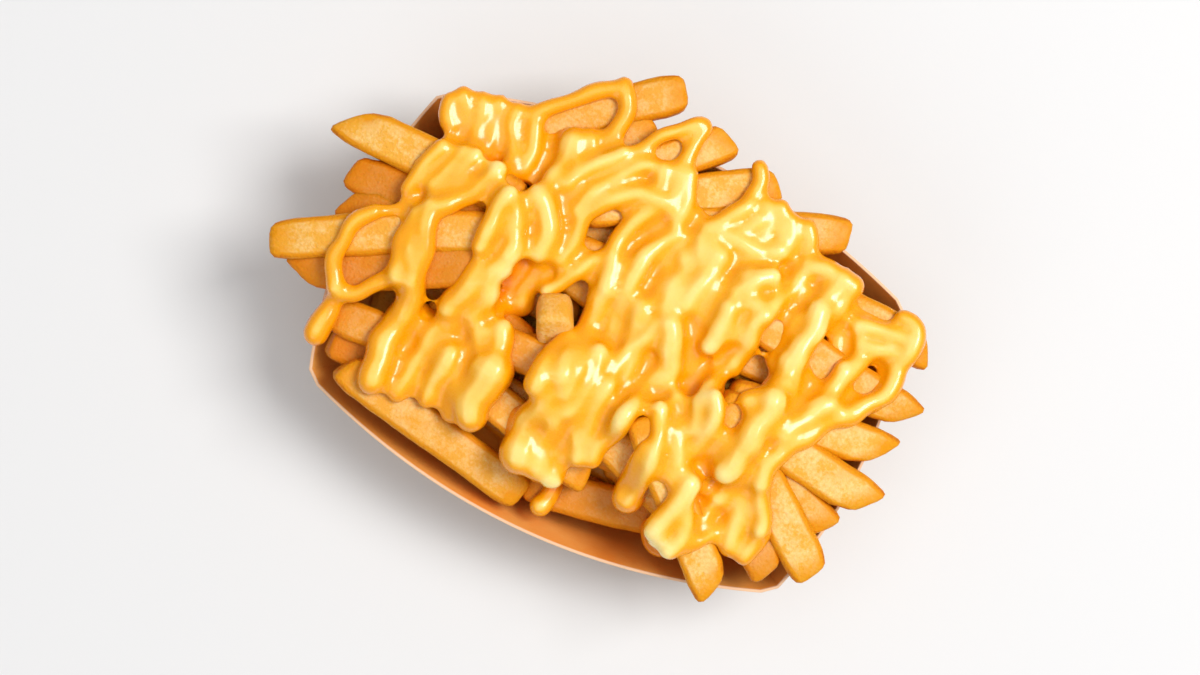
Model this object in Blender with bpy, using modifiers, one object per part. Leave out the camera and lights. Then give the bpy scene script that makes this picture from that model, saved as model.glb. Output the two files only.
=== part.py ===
"""Cheese fries heaped in a folded kraft-paper tray.

Metres, +Z up. The origin is the middle of the tray's underside, +X runs along the
tray and +Y across it. The tray is one object. The heap is the other: a core with
the fries and the thick cheese drizzle joined to it. The layout works in millimetres
and MM turns it into metres where a mesh is made. Each fry is laid on what already
lies in the tray, bottom ones first, and each rope of cheese follows the fries it
crosses.
"""

import math
import random
from collections import namedtuple

import bmesh
import bpy
import numpy as np
from mathutils import Matrix, Vector

MM = 0.001

# Tray, in millimetres: half sizes at the corners, and how far the sides bulge past them.
Outline = namedtuple("Outline", "half_x half_y bulge_x bulge_y corner_cut")
RIM = Outline(67.5, 41.5, 7.0, 13.1, 0.045)
BASE = Outline(54.5, 29.5, 5.5, 11.0, 0.012)
TRAY_HEIGHT = 36.0
BOARD = 0.8
POINTS_PER_SIDE = 9

# Gap between the tray and what lies in it, in millimetres.
PAPER_GAP = 0.7

# Core under the fries: how high it stands at the wall and in the middle.
CORE_WALL_LEVEL = 0.42
CORE_TOP = 41.0
CORE_RINGS = 4

# Heap, in millimetres: its top over the middle of the tray, and how far that falls to the rim.
HEAP_TOP = 60.0
HEAP_FALL = 15.8

# Fries, in millimetres.
FRY_THICKNESS = 10.2
FRY_CORNER = 1.3
FRY_TIP = 2.2
FRY_TIP_SIZE = 0.86
FRY_SKEW = 0.8

# One row a fry: the ends of its middle line seen from above, its width, how deep its top lies
# under the top of the heap, and how far the cut at each end leans, as a share of the width.
Fry = namedtuple("Fry", "x0 y0 x1 y1 width depth lean0 lean1")

LOWER_ROWS_Y = (-25, -8, 9, 26)
LOWER_COLUMNS_X = (-42, 0, 42)
LOWER_LENGTH = 44.0
LOWER_TURN = 17.0
LOWER_DEPTH = 10.5

FRIES = (
    Fry(-66, -30, -36, -27, 10.4, 10, 0.1, 0.0),
    Fry(-60.7, 27.4, -27.8, 30.3, 10.6, 8, 0.2, 0.1),
    Fry(-79.1, 12.1, -42, 14.5, 10.4, 0, 0.2, 0.0),
    Fry(-77, 4, -40, 8, 10.8, 1, 0.5, 0.1),
    Fry(-80.3, -17.8, -36.1, 4.8, 10.6, -0.5, -0.8, 0.0),
    Fry(-69, -23, -30, -21, 10.2, 6, -0.2, 0.1),
    Fry(-4, -43, 34, -36, 10.6, 8, 0.1, 0.2),
    Fry(-44, 30, -11.4, 55.5, 10.4, 2, 0.0, -0.2),
    Fry(37, -10, 63.3, -37.2, 10.6, 5, 0.0, -0.3),
    Fry(30, -5, 71.8, -20.1, 10.6, 3, 0.1, 0.3),
    Fry(5, 12, 54, 12, 10.4, 5, 0.2, -0.3),
    Fry(34, 1, 77.2, 4.4, 10.8, 0, 0.0, 0.8),
    Fry(-46, -13, 4, -11, 10.6, 5, 0.1, 0.2),
    Fry(-34, 16, 16, 20, 10.4, 4, 0.1, -0.2),
    Fry(2, 27, 40, 32, 10.4, 4, 0.0, 0.1),
    Fry(-90.4, -12.3, -37.9, 14.4, 10.7, -3, 0.05, 0.1),
    Fry(-85.2, 23.6, -35.9, 23.1, 11.4, -3, 0.8, 0.2),
    Fry(-62, 38.5, -22, 41, 10.6, 1, 0.2, 0.0),
    Fry(-59.6, -34.2, -3.8, -45.8, 10.6, 2, 0.3, 0.05),
    Fry(-33.9, -22.5, 10.4, -34.1, 10.4, 2.5, 0.1, -0.3),
    Fry(-10, -14, 36, -33, 10.6, 2, 0.0, 0.2),
    Fry(16, -13, 51.7, -46.8, 11.0, -1, 0.1, -0.45),
    Fry(34, -2, 73.8, -32.2, 11.2, 0, 0.2, -0.1),
    Fry(32, -2, 79, -9.6, 11.2, -1, 0.1, 0.6),
    Fry(28, 22, 79, 15.1, 10.8, -0.5, 0.0, 0.7),
    Fry(24, 35, 76.6, 32.9, 11.2, -1, 0.1, -0.5),
    Fry(-2.4, 32.8, 45.3, 51.9, 10.8, 0, 0.1, 0.2),
    Fry(-20.5, 28.5, 22.8, 55.9, 10.6, 0, 0.0, -0.2),
    Fry(-28, 26, 6.3, 61.7, 10.6, -1, 0.1, -0.27),
    Fry(-52, 33, -9.1, 68.2, 10.4, -1, 0.1, 0.1),
)

# The one fry that stands up in the heap: its top end, its heading and how steep it is.
STANDING_TOP = (-16.5, 3.0, 55.0)
STANDING_HEADING = 116.0
STANDING_PITCH = 52.0
STANDING_LENGTH = 40.0

# Cheese sauce, in millimetres. One row a rope: its ends seen from above, how far its middle
# bows to the left of that line, and its radius at each end. The lift is how far a rope's middle
# line lies above what it crosses, as a share of its radius.
Rope = namedtuple("Rope", "x0 y0 x1 y1 bow r0 r1")
ROPE_LIFT = 0.35
FILM_LIFT = -0.4
ROPE_STEP = 6.0
ROPE_BRIDGE = 6
ROPE_SAG = 0.3
CLEAR_OF_TRAY = 4.0
CHEESE_SWELL = 0.6
CHEESE_GRAIN = 1.2
CHEESE_SOFTENING = 4
CHEESE_FACES = 3200

ROPES = (
    # Left end: the outer loop with its drip, and the wide ropes beside it.
    Rope(-68.4, 5.1, -69.4, -16.4, -4.4, 1.9, 2.3),
    Rope(-69.3, -18.6, -68.8, -29.5, 0, 2.2, 3.7),
    Rope(-68.2, -17.8, -57.4, -6.2, -1.8, 2.2, 2.3),
    Rope(-57.9, 9.4, -55.4, -7, -1.8, 2.6, 3.1),
    Rope(-55.3, 11.2, -49.3, -11.5, 0.2, 3, 3.9),
    Rope(-57, 8, -52.5, -8, 0, 3, 3.4),
    Rope(-50.7, -13.9, -51.2, -34.3, -1.4, 4.1, 4),
    Rope(-36.3, -7.2, -43.7, -34.5, -1.8, 4, 3.1),
    Rope(-35.7, -20, -36.7, -32.9, 0.6, 3.9, 2.7),
    Rope(-30.6, -11.3, -27.9, -20, 0, 3.9, 3.6),
    Rope(-25.9, -9.1, -24, -17.2, -0.4, 3.7, 3.4),
    Rope(-25.1, -19.6, -24.3, -31.7, -0.8, 6, 4.6),
    Rope(-29.5, -20.5, -28.2, -32.9, -0.4, 3.1, 3.5),
    # Upper left: the ribbed sheets and the ropes that leave them.
    Rope(-63.1, 39.4, -60.1, 33.7, -0.6, 2.5, 2.6),
    Rope(-60.6, 42, -56.2, 31.3, 0.2, 2.8, 2.6),
    Rope(-55.6, 42.9, -52.3, 30.2, 0.5, 2.7, 2.8),
    Rope(-51.1, 44.1, -49.3, 30.5, 0.1, 2.6, 2.6),
    Rope(-46.4, 44.3, -41.2, 29.7, -0.3, 2.6, 2.8),
    Rope(-41.1, 43.4, -38.2, 31.1, 0.7, 2.5, 3.1),
    Rope(-50.7, 28.7, -53.7, 19.3, 0.2, 2.6, 2.5),
    Rope(-44.3, 27.7, -55.7, 12.7, 2.1, 3.1, 3),
    Rope(-38.4, 23.1, -40.2, 8.6, -0.3, 3.3, 2.4),
    Rope(-31.9, 26.1, -26.7, 13.8, 2.8, 4.1, 3.9),
    Rope(-35.5, 22.5, -31, 12, 1, 3.6, 3.4),
    Rope(-60, 27.5, -63, 14, -1, 2.5, 2.3),
    Rope(-54, 28.5, -58, 18, 0, 2.5, 2.5),
    Rope(-57.5, 18, -46, 23, 0, 2.6, 2.6),
    Rope(-29.6, 43.1, -29.6, 29.7, 0.5, 4.4, 2.7),
    Rope(-26.3, 45.2, -27.1, 32.9, 1.4, 3.7, 2.6),
    Rope(-16.4, 45.8, -27.5, 32.4, -0.4, 2.2, 2.3),
    Rope(-8.9, 46.2, -21.3, 27.7, -2, 2.3, 2.6),
    Rope(-19.7, 27.3, -19.8, 14.7, 0.8, 2.5, 3.1),
    Rope(-11.6, 18.5, -19.5, 5.5, 0, 2.2, 2.4),
    Rope(-43, 44.5, -24, 62, 0.7, 2.2, 2.5),
    Rope(-23.5, 62, -23.5, 45, 3, 2.6, 2.6),
    Rope(-14.5, 47.5, -1.6, 60.2, 0.3, 2.3, 2.3),
    Rope(-1.6, 60.2, 0.6, 58.2, 0.9, 2.3, 2.3),
    Rope(0.6, 58.2, -1, 49, -0.6, 2.3, 2.7),
    # Middle: the folded sheet and the ropes that run down from it.
    Rope(-5.6, 46.3, -5.1, 38, 0.6, 2.8, 2.8),
    Rope(-2.1, 47.4, -0.2, 38.6, 0.9, 3.1, 3.1),
    Rope(0.8, 47.9, 3.2, 37.3, 0.8, 2.8, 2.6),
    Rope(-19, 27.6, -5.3, 38.5, 2.7, 2.6, 3.1),
    Rope(-5.3, 38.5, 4.4, 33.4, 2.5, 3.1, 2.3),
    Rope(-4, 35.7, -5.6, 12.3, -3.6, 2.6, 3.1),
    Rope(4.9, 32.5, -1.5, 17, -1.5, 2.3, 3.1),
    Rope(-6, 13, -7.6, -12.5, 1, 3.4, 3.6),
    Rope(-3.5, 10, -5, -16, 0, 3.4, 3.8),
    Rope(-1.5, 18, -0.5, -4, 0.5, 3, 3.4),
    Rope(-0.5, -4, -3, -20, 1.5, 3.4, 3.3),
    Rope(-10.5, -3, -12.8, -17, 0, 3, 3.7),
    Rope(-8, -18, -9.5, -26, 0, 3.2, 3.6),
    Rope(-6.3, -19.4, -6, -26.5, 0, 3.4, 3.4),
    Rope(-9.5, -25, -6.5, -37, 1, 4.8, 4.4),
    Rope(-7, -34, 1.5, -37.5, 0, 3.6, 3.4),
    Rope(2, -30.2, 1.6, -37.2, 0.4, 3.2, 3.2),
    Rope(3.7, -39.9, 2, -46.1, 0.1, 2.6, 3.2),
    Rope(5.1, -10, 6.4, -30, -0.9, 2.7, 2.8),
    Rope(15.7, -1.7, 9.3, -28.8, -0.4, 3.2, 3),
    Rope(9.3, 9.5, 4.1, -6, -0.1, 2.6, 2.6),
    Rope(12.1, 10.6, 16.6, -5.8, 2.6, 4.2, 3.5),
    Rope(22.6, -17.8, 21.7, -35.2, 1.4, 2.3, 2.7),
    Rope(20, -20.1, 20.1, -34.8, -0.5, 2, 2.3),
    # Right: the wide leaf, the lobes below it and the ropes along the end.
    Rope(16.5, 31.9, 14.8, 17.2, 0.5, 3.6, 3.3),
    Rope(13, 30.9, 16.7, 11.3, 0, 3.3, 3.1),
    Rope(9.2, 29.9, 10.4, 10.9, 0.7, 3.3, 3.1),
    Rope(16.4, 57.4, 18.2, 47.2, 1.3, 2.4, 3),
    Rope(18.2, 47.2, 11, 37.6, 0.2, 2.7, 2.8),
    Rope(12.2, 36.2, 22.7, 45.3, -1.7, 2.6, 2.8),
    Rope(12, 36.5, 26, 37.5, 0, 3, 3),
    Rope(22.6, 49.2, 24.4, 40.4, 1.2, 2.6, 2.6),
    Rope(26.1, 50.3, 30, 40.8, 0.8, 2.6, 2.5),
    Rope(30.4, 48.3, 30.4, 39.8, 1.1, 2.5, 2.3),
    Rope(33.9, 48.8, 37.7, 35.3, 0.9, 2.5, 2.8),
    Rope(30.3, 40.1, 20.8, 24, -2.2, 3.2, 3.2),
    Rope(24, 26, 31, 33, 0, 3, 3),
    Rope(31, 25.1, 24.8, 20.2, -0.6, 2.2, 2.5),
    Rope(38.1, 35.5, 33.1, 21.8, -0.4, 3, 2.9),
    Rope(33.5, 23, 31.5, 8, 0, 3.4, 3.1),
    Rope(25, 21, 24.2, 10.5, 0, 3.2, 3.1),
    Rope(18, 26, 24, 14, 0.5, 3.2, 3),
    Rope(20, 18, 21, 11, 0, 3, 2.9),
    Rope(28.1, 8.8, 29.7, -2.4, 0, 3.4, 4),
    Rope(22.8, 0, 30.7, 0, 0.1, 2.4, 2.4),
    Rope(24.3, 0, 25.1, -14.6, 1.8, 2.6, 2.4),
    Rope(30.7, -1.2, 31, -17.6, 2, 2.6, 2.7),
    Rope(34.2, -24.3, 31.4, -38.4, 0.7, 3.6, 3.4),
    Rope(31.2, -39.3, 35.3, -41.9, -0.9, 3.2, 3.3),
    Rope(35.9, -29.2, 36.9, -41.2, 1.3, 2.3, 2.6),
    Rope(49.6, -25.6, 40.2, -39.6, 0.7, 2.2, 2.2),
    Rope(46.7, 30.1, 45.3, 14.6, 0.1, 3.7, 3.8),
    Rope(45.2, 15.5, 44.7, 4.4, 1, 3.6, 3),
    Rope(38.8, 1.6, 46.2, 8.4, 0.2, 2.9, 3.1),
    Rope(44.2, 4.1, 41.5, -17, 0.4, 4.5, 3.7),
    Rope(38.8, -10, 37.6, -21.5, 0, 3.2, 2.6),
    Rope(48, 40, 46.5, 30, 0, 3.9, 3.8),
    Rope(51, 39.5, 48.5, 29, 0, 3.7, 3.6),
    Rope(38.5, 35, 45, 28, 0, 2.8, 3),
    Rope(39, 40.5, 50, 39.5, 0.5, 3, 3.4),
    Rope(66.5, 38, 72, 33.3, 1.9, 2.4, 3),
    Rope(72, 33.3, 70.2, 25.9, 0.9, 3.1, 2.5),
    Rope(69.8, 26, 70.7, 17.8, 1.1, 2.5, 2.6),
    Rope(70.7, 17.7, 62.5, 8.5, 0.3, 2.6, 3),
    Rope(62.5, 8.5, 54, -2.6, -0.2, 3, 3.4),
    Rope(57.3, 31.5, 68.7, 32.5, 0.1, 2.8, 2.8),
    Rope(59.9, 27.4, 70.3, 29.2, -0.1, 2.8, 2.5),
    Rope(62, 31, 58.8, 18.2, 0.7, 3.1, 3.1),
    Rope(58.6, 19, 57.5, 8, 0, 3.1, 3.5),
    Rope(58, 9, 50.5, -2, 0, 3.6, 3.5),
    Rope(54, -2, 51, -15.9, -1.2, 3.3, 3.1),
    Rope(50.5, -16.1, 56, -27.2, 0.9, 2.6, 2.5),
    Rope(56, -27.2, 55.3, -34.9, 0.2, 2.6, 2.8),
    Rope(49.3, -19.5, 50.5, -32.6, -0.5, 2.5, 2.8),
    Rope(48, -22, 51, -34, 0, 3.2, 3.4),
)

# Thin, low sauce that has run between the ropes, in rows of the same kind.
FILMS = (
    Rope(-63, 21, -62, 12, 0, 2.6, 2),
    Rope(-34.5, 6, -36, -3, 0, 3.2, 3.4),
    Rope(-30, 11, -29, -4, 0, 4.2, 4.2),
    Rope(-24, 15, -24.5, 0, 0, 3.8, 3.8),
    Rope(-33, 43, -33.5, 30, 0, 2.6, 2.6),
    Rope(-12.5, -27, -9, -36, 0, 3.4, 3.4),
    Rope(-5, -33, 1, -37, 0, 3.6, 3.6),
    Rope(-0.5, -24, 2, -31, 0, 3.4, 3.4),
    Rope(8.5, -12, 8, -27, 0, 3, 3),
    Rope(7, 1, 7.5, -11, 0, 3.6, 3.6),
    Rope(22, -6, 29, -21, 0, 3, 3),
    Rope(24, -14, 30, -24, 0, 3, 3),
    Rope(28, -20, 33.5, -26, 0, 3, 3),
    Rope(49, 0, 43, -24, 0, 3, 3),
    Rope(5.8, 28, 7, 10, 0, 2.6, 2.6),
    Rope(17.5, 18, 18.5, 11, 0, 3, 3),
    Rope(7, 39, 10, 33, 0, 3.4, 3.4),
    Rope(42, 26, 41, 14, 0, 3, 3),
    Rope(40, 38, 44, 27, 0, 2.6, 2.6),
    Rope(57, 33, 68, 32, 0, 3.2, 3.2),
    Rope(68, 26, 68.5, 20, 0, 2.4, 2.4),
    Rope(62.5, 13.5, 69, 14.5, 0, 2.6, 2.6),
    Rope(-68.6, 5.6, -59.5, 10.4, 0.1, 1.7, 1.7),
    Rope(-60.9, 35.9, -41.3, 37.6, 0.6, 2.2, 2.2),
    Rope(0.8, 35.1, -3.4, 16.1, -3.1, 2.4, 2.4),
    Rope(9.5, -10, 7.8, -27, 0, 2.8, 2.8),
    Rope(17.5, -8, 22.5, -18, 0, 2.4, 2.6),
    Rope(25, -14, 32.5, -24, 0, 2.8, 3.1),
    Rope(60.8, 31.1, 69.2, 35.7, -2.1, 2.7, 2.7),
    Rope(33, -33, 33, -39, 0, 2.8, 2.8),
    Rope(45.8, -4, 46, -17, 0, 3.2, 3.3),
    Rope(-3.5, -29, -1.5, -37, 0, 4, 3.8),
    Rope(-40, 20.5, -31, 20, 0, 3, 3),
)

SEED = 7
COLOURS = {
    "paper_tray": (0.50, 0.24, 0.10),
    "fries": (0.86, 0.52, 0.13),
}
ROUGHNESS = {"paper_tray": 0.85, "fries": 0.45}
SHARP_ANGLE = math.radians(35)

CELL_X, CELL_Y = np.meshgrid(np.arange(-105.0, 106.0), np.arange(-80.0, 81.0), indexing="ij")


def clear_scene():
    """Remove the objects that Blender starts with."""
    for thing in list(bpy.data.objects):
        bpy.data.objects.remove(thing, do_unlink=True)


def new_collection(name):
    collection = bpy.data.collections.new(name)
    bpy.context.scene.collection.children.link(collection)
    return collection


def new_object(name, bm, collection):
    """Turn a bmesh into an object in the collection."""
    mesh = bpy.data.meshes.new(name)
    bm.to_mesh(mesh)
    bm.free()
    thing = bpy.data.objects.new(name, mesh)
    collection.objects.link(thing)
    return thing


def give_material(thing):
    """Give the object a Principled material of its own, and shade its round parts smooth."""
    material = bpy.data.materials.new(thing.name)
    material.use_nodes = True
    shader = material.node_tree.nodes["Principled BSDF"]
    shader.inputs["Base Color"].default_value = (*COLOURS[thing.name], 1.0)
    shader.inputs["Roughness"].default_value = ROUGHNESS[thing.name]
    thing.data.materials.clear()
    thing.data.materials.append(material)
    thing.data.shade_smooth()
    thing.data.set_sharp_from_angle(angle=SHARP_ANGLE)


# Tray outline

def between(low, high, share):
    """The outline that lies the given share of the way from low to high."""
    return Outline(*(a + (b - a) * share for a, b in zip(low, high)))


def inset(outline, distance):
    return outline._replace(half_x=outline.half_x - distance, half_y=outline.half_y - distance)


def is_inside(outline, x, y):
    """Whether points lie inside the four bulging sides of an outline."""
    end = outline.half_x + outline.bulge_x * (1 - (y / outline.half_y) ** 2)
    side = outline.half_y + outline.bulge_y * (1 - (x / outline.half_x) ** 2)
    return (np.abs(x) <= end) & (np.abs(y) <= side)


def outline_points(outline):
    """Points round an outline, with each corner cut by a short facet."""
    steps = np.linspace(-1, 1, POINTS_PER_SIDE) * (1 - outline.corner_cut)
    points = []
    for turn in range(4):
        quarter_x = math.cos(turn * math.pi / 2)
        quarter_y = math.sin(turn * math.pi / 2)
        along_end = turn % 2 == 0
        half, across = (outline.half_y, outline.half_x) if along_end else (outline.half_x, outline.half_y)
        bulge = outline.bulge_x if along_end else outline.bulge_y
        for step in steps:
            out = across + bulge * (1 - step ** 2)
            side = half * step
            points.append((out * quarter_x - side * quarter_y, out * quarter_y + side * quarter_x))
    return points


def add_ring(bm, outline, height):
    return [bm.verts.new((x * MM, y * MM, height * MM)) for x, y in outline_points(outline)]


def join_rings(bm, lower, upper):
    """Close the band between two rings that have the same number of points."""
    count = len(lower)
    for i in range(count):
        j = (i + 1) % count
        bm.faces.new((lower[i], lower[j], upper[j], upper[i]))


def make_tray(collection):
    """The folded tray: an open surface at its outer face, thickened inwards by Solidify."""
    bm = bmesh.new()
    base = add_ring(bm, BASE, 0)
    rim = add_ring(bm, RIM, TRAY_HEIGHT)
    bm.faces.new(reversed(base))
    join_rings(bm, base, rim)
    tray = new_object("paper_tray", bm, collection)
    board = tray.modifiers.new("Board", "SOLIDIFY")
    board.thickness = BOARD * MM
    board.offset = -1
    board.use_even_offset = True
    return tray


# Heights of what lies in the tray

def tray_heights():
    """The tray's inner face as a height map, with its rim and the table round it."""
    heights = np.where(is_inside(inset(RIM, -1.5), CELL_X, CELL_Y), TRAY_HEIGHT, 0.0)
    for share in np.linspace(1, 0, 73):
        wall = inset(between(BASE, RIM, share), 1.2)
        level = BOARD + share * (TRAY_HEIGHT - BOARD)
        heights[is_inside(wall, CELL_X, CELL_Y)] = level
    return heights


def core_profile(share):
    """Height of the core at a share of the way from its middle to the wall."""
    wall = CORE_WALL_LEVEL * TRAY_HEIGHT
    return wall + (CORE_TOP - wall) * (1 - share ** 2)


def core_outline():
    return inset(between(BASE, RIM, CORE_WALL_LEVEL), BOARD + PAPER_GAP)


def core_heights():
    """The core's rounded top as a height map."""
    heights = np.zeros_like(CELL_X)
    wall = core_outline()
    for share in np.linspace(1, 0.02, 50):
        ring = Outline(*(size * share for size in wall[:4]), 0)
        heights[is_inside(ring, CELL_X, CELL_Y)] = core_profile(share)
    return heights


def make_core(collection):
    """The plain body that carries the fries, a little inside the tray."""
    bm = bmesh.new()
    wall = core_outline()
    floor = inset(BASE, BOARD + PAPER_GAP)
    bottom = add_ring(bm, floor, BOARD + PAPER_GAP)
    bm.faces.new(reversed(bottom))
    below = bottom
    for step in range(CORE_RINGS):
        share = 1 - step / CORE_RINGS
        sizes = (size * share for size in wall[:4])
        ring = add_ring(bm, Outline(*sizes, wall.corner_cut), core_profile(share))
        join_rings(bm, below, ring)
        below = ring
    bm.faces.new(below)
    return new_object("core", bm, collection)


def fry_axes(fry):
    """Middle point, heading, and length of a fry seen from above."""
    length = math.hypot(fry.x1 - fry.x0, fry.y1 - fry.y0)
    heading = math.atan2(fry.y1 - fry.y0, fry.x1 - fry.x0)
    return (fry.x0 + fry.x1) / 2, (fry.y0 + fry.y1) / 2, heading, length


def footprint(fry):
    """The cells under a fry, and how far along it each of them lies."""
    x, y, heading, length = fry_axes(fry)
    along = (CELL_X - x) * math.cos(heading) + (CELL_Y - y) * math.sin(heading)
    across = (CELL_Y - y) * math.cos(heading) - (CELL_X - x) * math.sin(heading)
    mask = (np.abs(along) < length / 2 + FRY_TIP) & (np.abs(across) < fry.width / 2 + 0.5)
    return mask, along


def fry_top(x, y, depth):
    """Height of a fry's top at one end: on the rim outside the tray, else in the rounded heap."""
    if not is_inside(inset(RIM, 2), x, y):
        return TRAY_HEIGHT + PAPER_GAP + FRY_THICKNESS - min(depth, 0)
    fall = HEAP_FALL * ((x / RIM.half_x) ** 2 + (y / RIM.half_y) ** 2)
    return HEAP_TOP - fall - depth


def lay(fry, tray, heights):
    """Lay a fry at its depth in the heap, and lift its outer end where it meets the tray.

    Returns the height of its middle and its slope.
    """
    length = fry_axes(fry)[3]
    ends = fry_top(fry.x0, fry.y0, fry.depth), fry_top(fry.x1, fry.y1, fry.depth)
    mask, along = footprint(fry)
    inner, outer = max(ends), min(ends)
    inwards = 1 if ends[1] > ends[0] else -1
    from_inner = length / 2 - inwards * along[mask]
    room = inner - tray[mask] - PAPER_GAP - FRY_THICKNESS
    fall = min((inner - outer) / length, np.min(room / np.maximum(from_inner, length / 4)))
    level = inner - fall * length / 2
    heights[mask] = np.maximum(heights[mask], inner - fall * from_inner)
    return level - FRY_THICKNESS / 2, math.atan(fall * inwards)


def lower_fries():
    """The layer on the core, in rows along the tray with a seeded turn and shift each."""
    draw = random.Random(SEED)
    fries = []
    for y in LOWER_ROWS_Y:
        for x in LOWER_COLUMNS_X:
            turn = math.radians(draw.uniform(-LOWER_TURN, LOWER_TURN))
            middle_x = x * (1 - abs(y) / 160) + draw.uniform(-3, 3)
            middle_y = y + draw.uniform(-2, 2)
            half_x = LOWER_LENGTH / 2 * math.cos(turn)
            half_y = LOWER_LENGTH / 2 * math.sin(turn)
            ends = (middle_x - half_x, middle_y - half_y, middle_x + half_x, middle_y + half_y)
            width = draw.uniform(9.6, 10.6)
            fries.append(Fry(*ends, width, LOWER_DEPTH + draw.uniform(-2, 2), 0.1, -0.1))
    return fries


def lay_all():
    """Lay every fry, and return where each lies with the height map that they make."""
    tray = tray_heights()
    heights = np.maximum(tray, core_heights())
    laid = []
    for fry in (*lower_fries(), *FRIES):
        middle_x, middle_y, heading, length = fry_axes(fry)
        middle_z, pitch = lay(fry, tray, heights)
        place = Matrix.Translation(Vector((middle_x, middle_y, middle_z)) * MM)
        turn = Matrix.Rotation(heading, 4, "Z") @ Matrix.Rotation(-pitch, 4, "Y")
        laid.append((fry, length / math.cos(pitch), place @ turn))
    laid.append(standing_fry())
    return laid, heights


def standing_fry():
    """The fry whose pale end points up."""
    turn = Matrix.Rotation(math.radians(STANDING_HEADING), 4, "Z")
    turn = turn @ Matrix.Rotation(-math.radians(STANDING_PITCH), 4, "Y")
    middle = Vector(STANDING_TOP) - turn @ Vector((STANDING_LENGTH / 2, 0, 0))
    fry = Fry(0, 0, 0, 0, 9.6, 0, 0.0, 0.1)
    return fry, STANDING_LENGTH, Matrix.Translation(middle * MM) @ turn


# Fries

def shape_fry(co, fry, length, skew):
    """Move one point of a straight bar to where it lies on a cut, tapered, skewed fry."""
    along = co.x / (length / 2)
    end = 1 if along > 0 else -1
    at_tip = abs(along) > 0.9
    lean = fry.lean1 if end > 0 else fry.lean0
    size = FRY_TIP_SIZE - 0.25 * abs(lean) if at_tip else 1.0
    reach = length / 2 if at_tip else length / 2 - FRY_TIP
    return Vector((end * reach + lean * co.y, co.y * size + end * skew, co.z * size))


def make_fry(laid, collection, draw):
    """One fry: a bar with bevelled long edges, cut across at its tips and a little skewed."""
    fry, length, place = laid
    skew = draw.uniform(-FRY_SKEW, FRY_SKEW)
    sizes = (length, fry.width, FRY_THICKNESS)
    bm = bmesh.new()
    bmesh.ops.create_cube(bm, size=1, matrix=Matrix.Diagonal((*sizes, 1)))
    lengthwise = [edge for edge in bm.edges if edge.calc_length() > sizes[0] * 0.9]
    bmesh.ops.bevel(bm, geom=lengthwise, offset=FRY_CORNER, segments=1, profile=0.5,
                    affect="EDGES", material=-1)
    lengthwise = [edge for edge in bm.edges if edge.calc_length() > sizes[0] * 0.9]
    bmesh.ops.subdivide_edges(bm, edges=lengthwise, cuts=2)
    for vert in bm.verts:
        vert.co = shape_fry(vert.co, fry, sizes[0], skew) * MM
    bm.transform(place)
    return new_object("fry", bm, collection)


# Cheese sauce

def rope_path(rope):
    """Points along a rope seen from above, about a millimetre apart."""
    start, end = Vector((rope.x0, rope.y0)), Vector((rope.x1, rope.y1))
    run = end - start
    left = Vector((-run.y, run.x)).normalized()
    middle = (start + end) / 2 + left * rope.bow * 2
    count = max(6, round(run.length))
    shares = [i / count for i in range(count + 1)]
    return [start * (1 - t) ** 2 + middle * 2 * t * (1 - t) + end * t ** 2 for t in shares]


def slide(values, reach, pick):
    """Apply a pick, such as max or min, to the values within reach of each one."""
    return [pick(values[max(0, i - reach):i + reach + 1]) for i in range(len(values))]


def height_near(ground, point, radius):
    """The highest cell of the ground within a radius of a point."""
    near = (CELL_X - point.x) ** 2 + (CELL_Y - point.y) ** 2 <= radius ** 2
    return float(ground[near].max())


def rope_line(rope, ground, lift):
    """Points of a rope's middle line with their radius: it spans narrow gaps and sags in wide ones."""
    path = rope_path(rope)
    last = len(path) - 1
    radii = [rope.r0 + (rope.r1 - rope.r0) * i / last + CHEESE_SWELL for i in range(last + 1)]
    under = [height_near(ground, point, max(1.0, 0.5 * r)) for point, r in zip(path, radii)]
    spanned = slide(slide(under, ROPE_BRIDGE, max), ROPE_BRIDGE, min)
    levels = [high * (1 - ROPE_SAG) + low * ROPE_SAG for high, low in zip(spanned, under)]
    smooth = slide(levels, 2, np.mean)
    count = max(2, round(len(path) / ROPE_STEP))
    picks = [round(i * (len(path) - 1) / count) for i in range(count + 1)]
    return [(path[i], smooth[i] + lift * radii[i], radii[i]) for i in picks]


def rounded_ends(line):
    """Add a small point past each end of a rope, so that the end is rounded."""
    first, second = Vector((*line[0][0], line[0][1])), Vector((*line[1][0], line[1][1]))
    last, before = Vector((*line[-1][0], line[-1][1])), Vector((*line[-2][0], line[-2][1]))
    head = first + (first - second).normalized() * line[0][2] * 0.8
    tail = last + (last - before).normalized() * line[-1][2] * 0.8
    points = [(Vector((*flat, level)), radius) for flat, level, radius in line]
    return [(head, line[0][2] * 0.5), *points, (tail, line[-1][2] * 0.5)]


def make_rope(rope, ground, lift, collection):
    """One rope: a bevelled curve with filled caps, made a mesh."""
    points = rounded_ends(rope_line(rope, ground, lift))
    curve = bpy.data.curves.new("rope", "CURVE")
    curve.dimensions = "3D"
    curve.bevel_depth = MM
    curve.bevel_resolution = 1
    curve.use_fill_caps = True
    spline = curve.splines.new("POLY")
    spline.points.add(len(points) - 1)
    for knot, (place, radius) in zip(spline.points, points):
        knot.co = (*(place * MM), 1)
        knot.radius = radius
    guide = bpy.data.objects.new("rope", curve)
    collection.objects.link(guide)
    rope_mesh = as_mesh(guide)
    bm = bmesh.new()
    bm.from_mesh(rope_mesh)
    bmesh.ops.remove_doubles(bm, verts=bm.verts, dist=0.00001)
    bmesh.ops.recalc_face_normals(bm, faces=bm.faces)
    bpy.data.meshes.remove(rope_mesh)
    bpy.data.objects.remove(guide, do_unlink=True)
    return new_object("rope", bm, collection)


# Joining

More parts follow.
